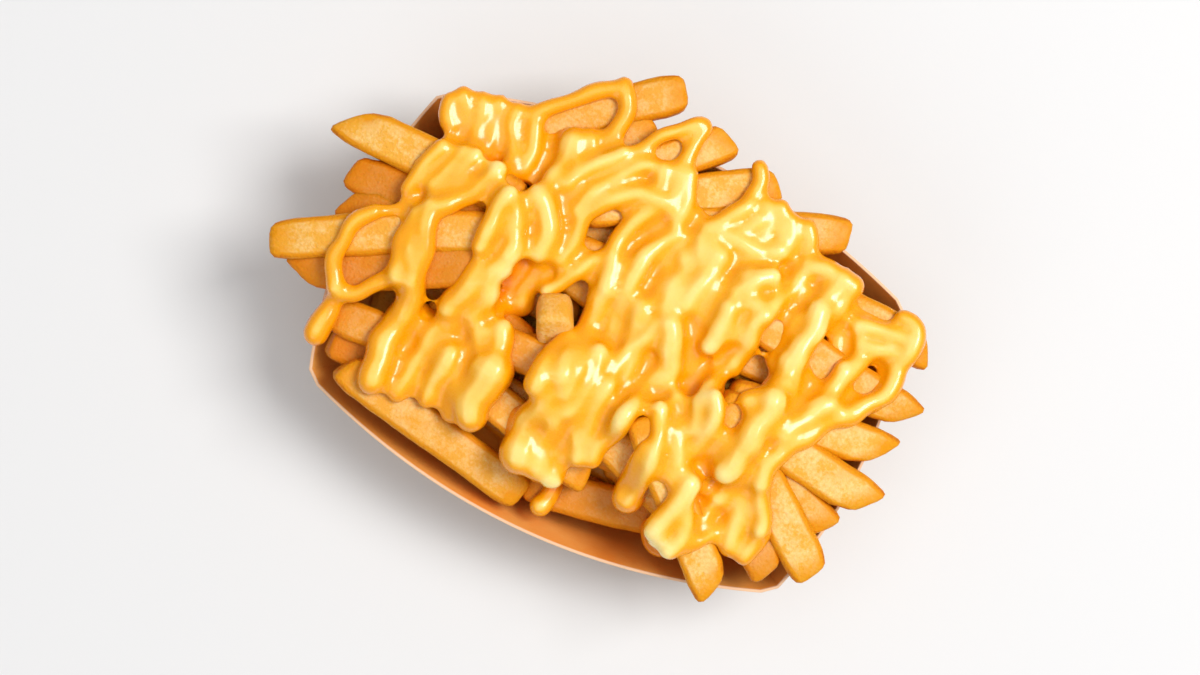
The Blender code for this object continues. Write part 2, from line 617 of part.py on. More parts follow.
def as_mesh(thing):
    """A new mesh of an object as its modifiers leave it."""
    graph = bpy.context.evaluated_depsgraph_get()
    return bpy.data.meshes.new_from_object(thing.evaluated_get(graph))


def apply_modifiers(thing):
    """Replace an object's mesh by what its modifiers make of it."""
    before = thing.data
    after = as_mesh(thing)
    thing.modifiers.clear()
    thing.data = after
    bpy.data.meshes.remove(before)


def join(thing, collection):
    """Join every object of a collection to one object, and remove them."""
    union = thing.modifiers.new("Union", "BOOLEAN")
    union.operation = "UNION"
    union.operand_type = "COLLECTION"
    union.collection = collection
    union.solver = "MANIFOLD"
    apply_modifiers(thing)
    empty_collection(collection)


def empty_collection(collection):
    for thing in list(collection.objects):
        bpy.data.objects.remove(thing, do_unlink=True)
    bpy.data.collections.remove(collection)


def islands(bm):
    """The connected groups of faces in a bmesh."""
    left = set(bm.faces)
    while left:
        group, border = set(), [left.pop()]
        while border:
            face = border.pop()
            group.add(face)
            near = {other for edge in face.edges for other in edge.link_faces} & left
            left -= near
            border.extend(near)
        yield group


def volume(faces):
    """Volume inside a closed group of faces, less than zero for a sealed hollow."""
    total = 0.0
    for face in faces:
        corner = face.verts[0].co
        for a, b in zip(face.verts[1:-1], face.verts[2:]):
            total += corner.dot(a.co.cross(b.co)) / 6
    return total


def keep_largest(thing):
    """Drop loose scraps and fill sealed hollows."""
    bm = bmesh.new()
    bm.from_mesh(thing.data)
    groups = sorted(islands(bm), key=volume)
    scraps = [face for group in groups[:-1] for face in group]
    bmesh.ops.delete(bm, geom=scraps, context="FACES")
    bm.to_mesh(thing.data)
    bm.free()


def make_cheese(ground, collection):
    """The drizzle: every rope joined, then run together where they meet."""
    ropes = new_collection("Ropes")
    cheese = make_rope(ROPES[0], ground, ROPE_LIFT, collection)
    for rope in ROPES[1:]:
        make_rope(rope, ground, ROPE_LIFT, ropes)
    for film in FILMS:
        make_rope(film, ground, FILM_LIFT, ropes)
    join(cheese, ropes)
    flow = cheese.modifiers.new("Flow", "REMESH")
    flow.mode = "VOXEL"
    flow.voxel_size = CHEESE_GRAIN * MM
    soften = cheese.modifiers.new("Soften", "SMOOTH")
    soften.factor = 0.5
    soften.iterations = CHEESE_SOFTENING
    apply_modifiers(cheese)
    thin = cheese.modifiers.new("Thin", "DECIMATE")
    thin.ratio = CHEESE_FACES / (2 * len(cheese.data.polygons))
    thin.use_collapse_triangulate = True
    apply_modifiers(cheese)
    return cheese


def make_heap(laid, heights, collection):
    """The heap: the core with every fry and the drizzle of cheese joined to it."""
    pieces = new_collection("Pieces")
    draw = random.Random(SEED)
    for one in laid:
        make_fry(one, pieces, draw)
    make_cheese(np.maximum(heights, tray_heights() + CLEAR_OF_TRAY), pieces)
    heap = make_core(collection)
    heap.name = "fries"
    join(heap, pieces)
    keep_largest(heap)
    return heap


def main():
    clear_scene()
    parts = new_collection("Cheese fries")
    tray = make_tray(parts)
    laid, heights = lay_all()
    heap = make_heap(laid, heights, parts)
    for thing in (tray, heap):
        give_material(thing)


main()
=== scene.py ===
"""Cheese fries in a kraft-paper tray: the dressed model.

The layout is in millimetres, in the tray's frame: +X along the tray, +Y across it and +Z up.
MM turns it into metres where a mesh is made. Every fry lies where the solid heap has it.
"""

import math
import random
from collections import namedtuple

import bmesh
import bpy
import numpy as np
from mathutils import Matrix, Vector, noise


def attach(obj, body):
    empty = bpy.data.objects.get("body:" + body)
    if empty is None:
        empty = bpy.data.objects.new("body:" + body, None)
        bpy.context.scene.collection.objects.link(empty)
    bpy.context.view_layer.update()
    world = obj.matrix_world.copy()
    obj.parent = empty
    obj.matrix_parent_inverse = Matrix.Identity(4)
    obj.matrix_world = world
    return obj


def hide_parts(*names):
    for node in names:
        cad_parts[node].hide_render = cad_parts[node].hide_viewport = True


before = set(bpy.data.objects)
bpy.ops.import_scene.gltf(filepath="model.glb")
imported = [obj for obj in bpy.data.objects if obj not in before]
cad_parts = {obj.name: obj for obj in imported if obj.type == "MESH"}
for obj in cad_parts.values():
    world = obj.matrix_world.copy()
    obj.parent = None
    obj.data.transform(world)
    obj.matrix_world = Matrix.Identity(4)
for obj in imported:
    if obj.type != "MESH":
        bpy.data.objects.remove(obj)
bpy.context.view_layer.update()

MM = 0.001

# Tray, in millimetres
Outline = namedtuple("Outline", "half_x half_y bulge_x bulge_y corner_cut")
RIM = Outline(67.5, 41.5, 7.0, 13.1, 0.045)
BASE = Outline(54.5, 29.5, 5.5, 11.0, 0.012)
TRAY_HEIGHT = 36.0
BOARD = 0.8
PAPER_GAP = 0.7
TRAY_RING_SHARES = (0.0, 0.02, 0.08, 0.2, 0.35, 0.5, 0.65, 0.8, 0.92, 0.98, 1.0)
TRAY_POINTS_PER_SIDE = 40
CUT_EDGE = 0.12

# Heap, in millimetres
HEAP_TOP = 60.0
HEAP_FALL = 15.8
CORE_WALL_LEVEL = 0.38
CORE_TOP = 34.0
CORE_RINGS = 16
CORE_POINTS_PER_SIDE = 24
CORE_ROUGHNESS = 1.4
CORE_BUMP_LENGTH = 7

# Fries, in millimetres
FRY_THICKNESS = 10.2
FRY_ROUNDING = 1.5
FRY_TIP = 2.2
FRY_TAPER_LENGTH = 7
FRY_TAPER = 0.08
FRY_LEAN_TAPER = 0.1
FRY_END_CURVE = 1.4
FRY_UNEVENNESS = 0.05
FRY_BOW = 0.8
DENT_LENGTH = 3.2
DENT_WIDTH = 2.6
COARSE_DENT = 0.32
FINE_DENT = 0.13
FRY_CUTS_ALONG = 34
FRY_CUTS_ACROSS = 5

# How much painted shade a fry's colour gets by its depth, or else by how many fries were laid after
# it
SHADE_DEPTHS = (1, 12)
SHADE_COUNTS = (22, 28)
COUNT_SHADE = 0.8
HIDDEN_SHADE = 0.35
CHANCE_SHADE = 0.25

Fry = namedtuple("Fry", "x0 y0 x1 y1 width depth lean0 lean1")

# Hidden fries, in rows along the tray
LOWER_ROWS_Y = (-25, -8, 9, 26)
LOWER_COLUMNS_X = (-42, 0, 42)
LOWER_LENGTH = 44.0
LOWER_TURN = 17.0
LOWER_DEPTH = 10.5
LOWER_WIDTHS = (9.6, 10.6)
LOWER_SHIFT_X = 3
LOWER_SHIFT_Y = 2
LOWER_DEPTH_SPREAD = 2
LOWER_LEAN = 0.1
ROWS_MEET_Y = 160
DEEP_ROWS_Y = (-27, -13, 1, 15, 28)
DEEP_COLUMNS_X = (-32, 8, 42)
DEEP_DEPTH = 19.5

# Fries that show, in the order in which they are laid: the two ends, the width, the depth below
# the heap's rounded top, and the lean of each end
FRIES = (
    Fry(-66, -30, -36, -27, 10.4, 10, 0.1, 0.0),
    Fry(-60.7, 27.4, -27.8, 30.3, 10.6, 8, 0.2, 0.1),
    Fry(-79.1, 12.1, -42, 14.5, 10.4, 0, 0.2, 0.0),
    Fry(-77, 4, -40, 8, 10.8, 1, 0.5, 0.1),
    Fry(-80.3, -17.8, -36.1, 4.8, 10.6, -0.5, -0.8, 0.0),
    Fry(-69, -23, -30, -21, 10.2, 6, -0.2, 0.1),
    Fry(-4, -43, 34, -36, 10.6, 8, 0.1, 0.2),
    Fry(-44, 30, -11.4, 55.5, 10.4, 2, 0.0, -0.2),
    Fry(37, -10, 63.3, -37.2, 10.6, 5, 0.0, -0.3),
    Fry(30, -5, 71.8, -20.1, 10.6, 3, 0.1, 0.3),
    Fry(5, 12, 54, 12, 10.4, 5, 0.2, -0.3),
    Fry(34, 1, 77.2, 4.4, 10.8, 0, 0.0, 0.8),
    Fry(-46, -13, 4, -11, 10.6, 5, 0.1, 0.2),
    Fry(-34, 16, 16, 20, 10.4, 4, 0.1, -0.2),
    Fry(2, 27, 40, 32, 10.4, 4, 0.0, 0.1),
    Fry(-90.4, -12.3, -37.9, 14.4, 10.7, -3, 0.05, 0.1),
    Fry(-85.2, 23.6, -35.9, 23.1, 11.4, -3, 0.8, 0.2),
    Fry(-62, 38.5, -22, 41, 10.6, 1, 0.2, 0.0),
    Fry(-59.6, -34.2, -3.8, -45.8, 10.6, 2, 0.3, 0.05),
    Fry(-33.9, -22.5, 10.4, -34.1, 10.4, 2.5, 0.1, -0.3),
    Fry(-10, -14, 36, -33, 10.6, 2, 0.0, 0.2),
    Fry(16, -13, 51.7, -46.8, 11.0, -1, 0.1, -0.45),
    Fry(34, -2, 73.8, -32.2, 11.2, 0, 0.2, -0.1),
    Fry(32, -2, 79, -9.6, 11.2, -1, 0.1, 0.6),
    Fry(28, 22, 79, 15.1, 10.8, -0.5, 0.0, 0.7),
    Fry(24, 35, 76.6, 32.9, 11.2, -1, 0.1, -0.5),
    Fry(-2.4, 32.8, 45.3, 51.9, 10.8, 0, 0.1, 0.2),
    Fry(-20.5, 28.5, 22.8, 55.9, 10.6, 0, 0.0, -0.2),
    Fry(-28, 26, 6.3, 61.7, 10.6, -1, 0.1, -0.27),
    Fry(-52, 33, -9.1, 68.2, 10.4, -1, 0.1, 0.1),
)

# The fry whose pale end points up
STANDING_TOP = (-16.5, 3.0, 55.0)
STANDING_HEADING = 116.0
STANDING_PITCH = 52.0
STANDING_LENGTH = 40.0
STANDING_WIDTH = 9.6
PALE_END_BROWNING_AND_SIDE_SHADE = 0.2

# Cheese sauce, in millimetres: a rope's two ends, how far it bows to its left, and its radii
Rope = namedtuple("Rope", "x0 y0 x1 y1 bow r0 r1")
ROPE_LIFT = 0.35
FILM_LIFT = -0.5
ROPE_BRIDGE = 6
ROPE_SAG = 0.3
ROPE_UNEVENNESS = 0.17
ROPE_WOBBLE = 0.5
ROPE_WAVE = 7
SAUCE_REACH = 0.9
CLEAR_OF_TRAY = 4.0
CHEESE_GRAIN = 0.72
CHEESE_SOFTENING = 9
# Painted shade on a rope's flanks and at the sauce's edges, in millimetres taken off the crest
# measure
FLANK_SHADE = 1.7
EDGE_SHADE = 2.3

ROPES = (
    # Left end: the outer loop with its drip, and the wide ropes beside it.
    Rope(-68.4, 5.1, -69.4, -16.4, -4.4, 2.3, 2.7),
    Rope(-69.3, -18.6, -68.8, -29.5, 0, 2.5, 3.9),
    Rope(-68.2, -17.8, -57.4, -6.2, -1.8, 2.5, 2.6),
    Rope(-57.9, 9.4, -55.4, -7, -1.8, 2.6, 3.1),
    Rope(-55.3, 11.2, -50.3, -16, 0.2, 3, 3.7),
    Rope(-57, 8, -53, -7, 0, 3, 3.2),
    Rope(-50.7, -13.9, -51.2, -34.3, -1.4, 4.1, 4),
    Rope(-36.3, -7.2, -43.7, -34.5, -1.8, 4, 3.1),
    Rope(-35.7, -20, -36.7, -32.9, 0.6, 3.9, 2.7),
    Rope(-30.6, -11.3, -27.9, -20, 0, 3.9, 3.6),
    Rope(-25.9, -9.1, -24, -17.2, -0.4, 3.7, 3.4),
    Rope(-25.1, -19.6, -24.3, -31.7, -0.8, 6, 4.6),
    Rope(-29.5, -20.5, -28.2, -32.9, -0.4, 3.1, 3.5),
    # Upper left: the ribbed sheets and the ropes that leave them.
    Rope(-63.1, 39.4, -60.1, 33.7, -0.6, 2.5, 2.6),
    Rope(-60.6, 42, -56.2, 31.3, 0.2, 2.8, 2.6),
    Rope(-55.6, 42.9, -52.3, 30.2, 0.5, 2.7, 2.8),
    Rope(-51.1, 44.1, -49.3, 30.5, 0.1, 2.6, 2.6),
    Rope(-46.4, 44.3, -41.2, 29.7, -0.3, 2.6, 2.8),
    Rope(-41.1, 43.4, -38.2, 31.1, 0.7, 2.5, 3.1),
    Rope(-50.7, 28.7, -53.7, 19.3, 0.2, 2.6, 2.5),
    Rope(-44.3, 27.7, -55.7, 12.7, 2.1, 3.1, 3),
    Rope(-38.4, 23.1, -40.2, 8.6, -0.3, 3.3, 2.4),
    Rope(-31.9, 26.1, -26.7, 13.8, 2.8, 4.1, 3.9),
    Rope(-36.5, 22, -33, 9.5, 1, 3.6, 3.4),
    Rope(-60, 27.5, -63, 14, -1, 2.5, 2.3),
    Rope(-54, 28.5, -58, 18, 0, 2.5, 2.5),
    Rope(-57.5, 18, -46, 23, 0, 2.6, 2.6),
    Rope(-29.6, 43.1, -29.6, 29.7, 0.5, 4.4, 2.7),
    Rope(-26.3, 45.2, -27.1, 32.9, 1.4, 3.7, 2.6),
    Rope(-16.4, 45.8, -27.5, 32.4, -0.4, 2.2, 2.3),
    Rope(-8.9, 46.2, -21.3, 27.7, -2, 2.3, 2.6),
    Rope(-19.7, 27.3, -19.8, 14.7, 0.8, 2.5, 3.1),
    Rope(-11.6, 18.5, -19.5, 5.5, 0, 2.2, 2.4),
    Rope(-43, 44.5, -24, 62, 0.7, 2.2, 2.5),
    Rope(-23.5, 62, -23.5, 45, 3, 2.6, 2.6),
    Rope(-14.5, 47.5, -2.7, 61.2, 0.3, 2, 2),
    Rope(-2.7, 61.2, -0.3, 60, 1, 2, 2),
    Rope(-0.3, 60, -1, 49, -0.8, 2, 2.6),
    # Middle: the folded sheet and the ropes that run down from it.
    Rope(-5.6, 46.3, -5.1, 38, 0.6, 2.8, 2.8),
    Rope(-2.1, 47.4, -0.2, 38.6, 0.9, 3.1, 3.1),
    Rope(0.8, 47.9, 3.2, 37.3, 0.8, 2.8, 2.6),
    Rope(-19, 27.6, -5.3, 38.5, 2.7, 2.6, 3.1),
    Rope(-5.3, 38.5, 4.4, 33.4, 2.5, 3.1, 2.3),
    Rope(-4, 35.7, -5.6, 12.3, -3.6, 2.6, 3.1),
    Rope(4.9, 32.5, -1.5, 17, -1.5, 2.3, 3.1),
    Rope(-6, 13, -7.6, -12.5, 1, 3.4, 3.6),
    Rope(-3.5, 10, -5, -16, 0, 3.4, 3.8),
    Rope(-1.5, 18, -0.5, -4, 0.5, 3, 3.4),
    Rope(-0.5, -4, -3, -20, 1.5, 3.4, 3.3),
    Rope(-10.5, -3, -12.8, -17, 0, 3, 3.7),
    Rope(-8.5, -18, -8, -35.5, -1, 3.6, 5.4),
    Rope(-5.5, -20, -3.5, -36, 0, 3.6, 4.6),
    Rope(-7, -35.5, 1, -38, 0, 3.6, 3.4),
    Rope(-1, -28, 1.8, -37.5, 0.4, 3.4, 3.4),
    Rope(3.7, -39.9, 2, -46.1, 0.1, 2.6, 3.2),
    Rope(5.1, -10, 6.4, -30, -0.9, 2.7, 2.8),
    Rope(15.7, -1.7, 9.3, -28.8, -0.4, 3.2, 3),
    Rope(9.3, 9.5, 4.1, -6, -0.1, 2.6, 2.6),
    Rope(12.1, 10.6, 16.6, -5.8, 2.6, 4.2, 3.5),
    Rope(22.6, -17.8, 21.7, -35.2, 1.4, 2.3, 2.7),
    Rope(20, -20.1, 20.1, -34.8, -0.5, 2, 2.3),
    # Right: the wide leaf, the lobes below it and the ropes along the end.
    Rope(16.5, 31.9, 14.8, 17.2, 0.5, 3.6, 3.3),
    Rope(16.4, 57.4, 18.2, 47.2, 1.3, 2.4, 3),
    Rope(18.2, 47.2, 11, 37.6, 0.2, 2.7, 2.8),
    Rope(12.2, 36.2, 22.7, 45.3, -1.7, 2.6, 2.8),
    Rope(12, 36.5, 26, 37.5, 0, 3, 3),
    Rope(22.6, 49.2, 24.4, 40.4, 1.2, 2.6, 2.6),
    Rope(26.1, 50.3, 30, 40.8, 0.8, 2.6, 2.5),
    Rope(30.4, 48.3, 30.4, 39.8, 1.1, 2.5, 2.3),
    Rope(33.9, 48.8, 37.7, 35.3, 0.9, 2.5, 2.8),
    Rope(30.3, 40.1, 20.8, 24, -2.2, 3.2, 3.2),
    Rope(24, 26, 31, 33, 0, 3, 3),
    Rope(31, 25.1, 24.8, 20.2, -0.6, 2.2, 2.5),
    Rope(38.1, 35.5, 33.1, 21.8, -0.4, 3, 2.9),
    Rope(33.5, 23, 31.5, 8, 0, 3.4, 3.1),
    Rope(25, 21, 24.2, 10.5, 0, 3.2, 3.1),
    Rope(28.1, 8.3, 29.7, -2.4, 0, 2.5, 3.2),
    Rope(22.8, 0, 30.7, 0, 0.1, 2.4, 2.4),
    Rope(24.3, 0, 25.1, -14.6, 1.6, 2.5, 2.4),
    Rope(30.7, -1.2, 31, -17.6, 2, 2.6, 2.7),
    Rope(34.2, -24.3, 31.4, -38.4, 0.7, 3.6, 3.4),
    Rope(31.2, -39.3, 35.3, -41.9, -0.9, 3.2, 3.3),
    Rope(35.9, -29.2, 36.9, -41.2, 1.3, 2.8, 3),
    Rope(49.6, -25.6, 40.2, -39.6, 0.7, 2.2, 2.2),
    Rope(46.7, 30.1, 45.3, 14.6, 0.1, 3.7, 3.8),
    Rope(45.2, 15.5, 44.7, 4.4, 1, 3.6, 3),
    Rope(38.8, 1.6, 46.2, 8.4, 0.2, 2.9, 3.1),
    Rope(44.2, 4.1, 41.5, -17, 0.4, 4.5, 3.7),
    Rope(38.8, -10, 37.6, -21.5, 0, 3.2, 2.6),
    Rope(48, 40, 46.5, 30, 0, 3.9, 3.8),
    Rope(51, 39.5, 48.5, 29, 0, 3.7, 3.6),
    Rope(38.5, 35, 45, 28, 0, 2.8, 3),
    Rope(39, 40.5, 50, 39.5, 0.5, 3, 3.4),
    Rope(66.5, 38, 72, 33.3, 1.9, 2.4, 3),
    Rope(72, 33.3, 70.2, 25.9, 0.9, 3.1, 2.5),
    Rope(69.8, 26, 70.7, 17.8, 1.1, 2.5, 2.6),
    Rope(70.7, 17.7, 62.5, 8.5, 0.3, 2.6, 3),
    Rope(62.5, 8.5, 54, -2.6, -0.2, 3, 3.4),
    Rope(57.3, 31.5, 68.7, 32.5, 0.1, 2.8, 2.8),
    Rope(59.9, 27.4, 70.3, 29.2, -0.1, 2.8, 2.5),
    Rope(62, 31, 58.8, 18.2, 0.7, 3.1, 3.1),
    Rope(58.6, 19, 57.5, 8, 0, 3.1, 3.5),
    Rope(58, 9, 50.5, -2, 0, 3.6, 3.5),
    Rope(54, -2, 51, -15.9, -1.2, 3.3, 3.1),
    Rope(50.5, -16.1, 56, -27.2, 0.9, 2.6, 2.5),
    Rope(56, -27.2, 55.3, -34.9, 0.2, 2.6, 2.8),
    Rope(49.3, -19.5, 50.5, -32.6, -0.5, 2.5, 2.8),
    Rope(48, -22, 51, -34, 0, 3.2, 3.4),
)

# Low sauce: what has run between the ropes, and the wide sheets under them
FILMS = (
    Rope(-63, 21, -62, 12, 0, 2.6, 2),
    Rope(-34, 6, -34.5, -8, 0, 4.2, 4),
    Rope(-30, 11, -29, -4, 0, 4.2, 4.2),
    Rope(-24, 15, -24.5, 0, 0, 3.8, 3.8),
    Rope(-33, 43, -33.5, 30, 0, 2.6, 2.6),
    Rope(-12.5, -27, -9, -36, 0, 3.4, 3.4),
    Rope(-5, -33, 1, -37, 0, 3.6, 3.6),
    Rope(-0.5, -24, 2, -31, 0, 3.4, 3.4),
    Rope(8.5, -12, 8, -27, 0, 3, 3),
    Rope(7, 1, 7.5, -11, 0, 3.6, 3.6),
    Rope(22, -6, 29, -21, 0, 3, 3),
    Rope(24, -14, 30, -24, 0, 3, 3),
    Rope(28, -20, 33.5, -26, 0, 3, 3),
    Rope(49, 0, 43, -24, 0, 3, 3),
    Rope(5.8, 28, 7, 10, 0, 2.6, 2.6),
    Rope(17.5, 18, 18.5, 11, 0, 3, 3),
    Rope(7, 39, 10, 33, 0, 3.4, 3.4),
    Rope(42, 26, 41, 14, 0, 3, 3),
    Rope(40, 38, 44, 27, 0, 2.6, 2.6),
    Rope(57, 33, 68, 32, 0, 3.2, 3.2),
    Rope(68, 26, 68.5, 20, 0, 2.4, 2.4),
    Rope(62.5, 13.5, 69, 14.5, 0, 2.6, 2.6),
    Rope(-68.6, 5.6, -59.5, 10.4, 0.1, 1.7, 1.7),
    Rope(-57, 36.5, -44, 37.8, 0, 4.5, 4.5),
    Rope(0.8, 35.1, -3.4, 16.1, -3.1, 2.4, 2.4),
    Rope(9.5, -10, 7.8, -27, 0, 2.8, 2.8),
    Rope(19.5, -10, 22.5, -18, 0, 2.6, 2.6),
    Rope(25, -14, 32.5, -24, 0, 2.8, 3.1),
    Rope(60.8, 31.1, 69.2, 35.7, -2.1, 2.7, 2.7),
    Rope(33, -27, 33.5, -39, 0, 3.8, 3.8),
    Rope(45.8, -4, 46, -17, 0, 3.2, 3.3),
    Rope(-3.5, -29, -1.5, -37, 0, 4, 3.8),
    Rope(-40, 20.5, -31, 20, 0, 3, 3),
    Rope(9.8, 28, 11.8, 14.5, 0, 6, 6),
    Rope(-1, 46, 1, 38, 0, 5.5, 5.5),
    Rope(18.5, 43, 31, 45.5, 0, 5.5, 5),
    Rope(-3.5, 12, -5.5, -14, 0, 5, 5.2),
    Rope(-38.4, -14.2, -36, -28, 0, 5.5, 5),
    Rope(-30.5, -14.5, -26.5, -29, 0, 4.5, 4.5),
    Rope(-3.9, -8.5, 4.5, -26, 0, 6, 5),
    Rope(-57, 25, -50, 24.5, 0, 4.5, 4.5),
    Rope(45, 8, 43, -14, 0, 5.2, 4.8),
    Rope(50.5, -22, 52.5, -33, 0, 4.8, 4.6),
    Rope(21.8, -22, 20.8, -34, 0, 3.6, 4.2),
    Rope(9.5, 5, 13.5, -6, 0, 4.5, 4.5),
    Rope(-47.4, -24.3, -46.5, -33, 0, 3, 3),
    Rope(-46, -13, -45, -17, 0, 2.6, 2.6),
    Rope(17, 27, 20.5, 15.5, 0, 6.8, 6),
    Rope(4.5, 12, 5.5, 3, 0, 3.2, 3.2),
    Rope(31, 38, 34.5, 34, 0, 3.2, 3.2),
    Rope(-26.5, 31, -24, 26, 0, 3, 3),
    Rope(25.5, 29, 26.5, 17, 0, 5.2, 5.8),
    Rope(32, -16, 36, -23, 0, 3, 3),
    Rope(-31, -4, -31.5, -11, 0, 3.4, 3.4),
    Rope(-38.5, 3, -39.5, -9, 0, 4.2, 4),
    Rope(21.2, 8.5, 23, 2, 0, 3, 3),
    Rope(28, -4, 29.4, -10.5, 0, 2.8, 2.8),
    Rope(50.6, 14, 53.2, 6.5, 0, 2.8, 2.6),
    Rope(51, 31, 54.2, 24, 0, 3, 2.8),
    Rope(40.6, -24, 42, -31.5, 0, 2.8, 2.4),
    Rope(14.5, 33, 20, 18, 0, 8, 6.5),
    Rope(19.5, 20, 23, 12.5, 0, 5, 3),
)

SEED = 7
CELL_X, CELL_Y = np.meshgrid(np.arange(-105.0, 106.0), np.arange(-80.0, 81.0), indexing="ij")

# Camera: straight above, turned so that the tray runs to the photo's lower right
VIEW_TURN = math.radians(25.0)
VIEW_HEIGHT = 0.8
VIEW_OFFSET = (-2.27 * MM, 0.31 * MM)
VIEW_LENS = 87.2


# Tray outline

def between(low, high, share):
    """The outline at a share of the way from a low one to a high one."""
    return Outline(*(a + (b - a) * share for a, b in zip(low, high)))


def inset(outline, distance):
    """The outline moved inwards all round."""
    return outline._replace(half_x=outline.half_x - distance, half_y=outline.half_y - distance)


def is_inside(outline, x, y):
    """Whether points lie inside the four bulging sides of an outline."""
    end = outline.half_x + outline.bulge_x * (1 - (y / outline.half_y) ** 2)
    side = outline.half_y + outline.bulge_y * (1 - (x / outline.half_x) ** 2)
    return (np.abs(x) <= end) & (np.abs(y) <= side)


def outline_points(outline, per_side):
    """Points round an outline, with each corner cut by a short facet."""
    steps = np.linspace(-1, 1, per_side) * (1 - outline.corner_cut)
    points = []
    for turn in range(4):
        quarter_x = math.cos(turn * math.pi / 2)
        quarter_y = math.sin(turn * math.pi / 2)
        along_end = turn % 2 == 0
        half = outline.half_y if along_end else outline.half_x
        across = outline.half_x if along_end else outline.half_y
        bulge = outline.bulge_x if along_end else outline.bulge_y
        for step in steps:
            out = across + bulge * (1 - step ** 2)
            side = half * step
            points.append((out * quarter_x - side * quarter_y, out * quarter_y + side * quarter_x))
    return points


def tray_heights():
    """The tray's inner face as a height map, with its rim and the table round it."""
    heights = np.where(is_inside(inset(RIM, -1.5), CELL_X, CELL_Y), TRAY_HEIGHT, 0.0)
    for share in np.linspace(1, 0, 73):
        wall = inset(between(BASE, RIM, share), 1.2)
        level = BOARD + share * (TRAY_HEIGHT - BOARD)
        heights[is_inside(wall, CELL_X, CELL_Y)] = level
    return heights


# Laying the fries

def core_profile(share):
    """Height of the core's domed top at a share of the way out to its wall."""
    wall = CORE_WALL_LEVEL * TRAY_HEIGHT
    return wall + (CORE_TOP - wall) * (1 - share ** 2)


def core_outline():
    """The core's outline where it leaves the tray's wall."""
    return inset(between(BASE, RIM, CORE_WALL_LEVEL), BOARD + PAPER_GAP)


def fry_axes(fry):
    """Middle point, heading and length of a fry seen from above."""
    length = math.hypot(fry.x1 - fry.x0, fry.y1 - fry.y0)
    heading = math.atan2(fry.y1 - fry.y0, fry.x1 - fry.x0)
    return (fry.x0 + fry.x1) / 2, (fry.y0 + fry.y1) / 2, heading, length


def footprint(fry):
    """The cells under a fry, and how far along it each of them lies."""
    x, y, heading, length = fry_axes(fry)
    along = (CELL_X - x) * math.cos(heading) + (CELL_Y - y) * math.sin(heading)
    across = (CELL_Y - y) * math.cos(heading) - (CELL_X - x) * math.sin(heading)
    mask = (np.abs(along) < length / 2 + FRY_TIP) & (np.abs(across) < fry.width / 2 + 0.5)
    return mask, along


def fry_top(x, y, depth):
    """Height of a fry's top at one end: on the rim outside the tray, else in the rounded heap."""
    if not is_inside(inset(RIM, 2), x, y):
        return TRAY_HEIGHT + PAPER_GAP + FRY_THICKNESS - min(depth, 0)
    fall = HEAP_FALL * ((x / RIM.half_x) ** 2 + (y / RIM.half_y) ** 2)
    return HEAP_TOP - fall - depth


def lay(fry, tray, heights):
    """Lay a fry at its depth in the heap, and lift its outer end where it meets the tray."""
    length = fry_axes(fry)[3]
    ends = fry_top(fry.x0, fry.y0, fry.depth), fry_top(fry.x1, fry.y1, fry.depth)
    mask, along = footprint(fry)
    inner, outer = max(ends), min(ends)
    inwards = 1 if ends[1] > ends[0] else -1
    from_inner = length / 2 - inwards * along[mask]
    room = inner - tray[mask] - PAPER_GAP - FRY_THICKNESS
    fall = min((inner - outer) / length, np.min(room / np.maximum(from_inner, length / 4)))
    level = inner - fall * length / 2
    heights[mask] = np.maximum(heights[mask], inner - fall * from_inner)
    return level - FRY_THICKNESS / 2, math.atan(fall * inwards)


def rows_of_fries(rows, columns, depth, seed):
    """A hidden layer in rows along the tray, with a seeded turn and shift for each fry."""
    draw = random.Random(seed)
    fries = []
    for y in rows:
        for x in columns:
            turn = math.radians(draw.uniform(-LOWER_TURN, LOWER_TURN))
            middle_x = x * (1 - abs(y) / ROWS_MEET_Y) + draw.uniform(-LOWER_SHIFT_X, LOWER_SHIFT_X)
            middle_y = y + draw.uniform(-LOWER_SHIFT_Y, LOWER_SHIFT_Y)
            half_x = LOWER_LENGTH / 2 * math.cos(turn)
            half_y = LOWER_LENGTH / 2 * math.sin(turn)
            ends = (middle_x - half_x, middle_y - half_y, middle_x + half_x, middle_y + half_y)
            width = draw.uniform(*LOWER_WIDTHS)
            level = depth + draw.uniform(-LOWER_DEPTH_SPREAD, LOWER_DEPTH_SPREAD)
            fries.append(Fry(*ends, width, level, LOWER_LEAN, -LOWER_LEAN))
    return fries


def standing_fry():
    """The fry that points up, with its length and its place."""
    turn = Matrix.Rotation(math.radians(STANDING_HEADING), 4, "Z")
    turn = turn @ Matrix.Rotation(-math.radians(STANDING_PITCH), 4, "Y")
    middle = Vector(STANDING_TOP) - turn @ Vector((STANDING_LENGTH / 2, 0, 0))
    fry = Fry(0, 0, 0, 0, STANDING_WIDTH, 0, 0.0, 0.1)
    return fry, STANDING_LENGTH, Matrix.Translation(middle) @ turn


def lay_all():
    """Lay every fry, and return where each lies with the height map that they make."""
    tray = tray_heights()
    heights = tray.copy()
    deep = rows_of_fries(DEEP_ROWS_Y, DEEP_COLUMNS_X, DEEP_DEPTH, SEED + 1)
    lower = rows_of_fries(LOWER_ROWS_Y, LOWER_COLUMNS_X, LOWER_DEPTH, SEED)
    laid = []
    for fry in (*deep, *lower, *FRIES):
        middle_x, middle_y, heading, length = fry_axes(fry)
        middle_z, pitch = lay(fry, tray, heights)
        place = Matrix.Translation(Vector((middle_x, middle_y, middle_z)))
        turn = Matrix.Rotation(heading, 4, "Z") @ Matrix.Rotation(-pitch, 4, "Y")
        laid.append((fry, length / math.cos(pitch), place @ turn))
    laid.append(standing_fry())
    return laid, heights


# Making meshes

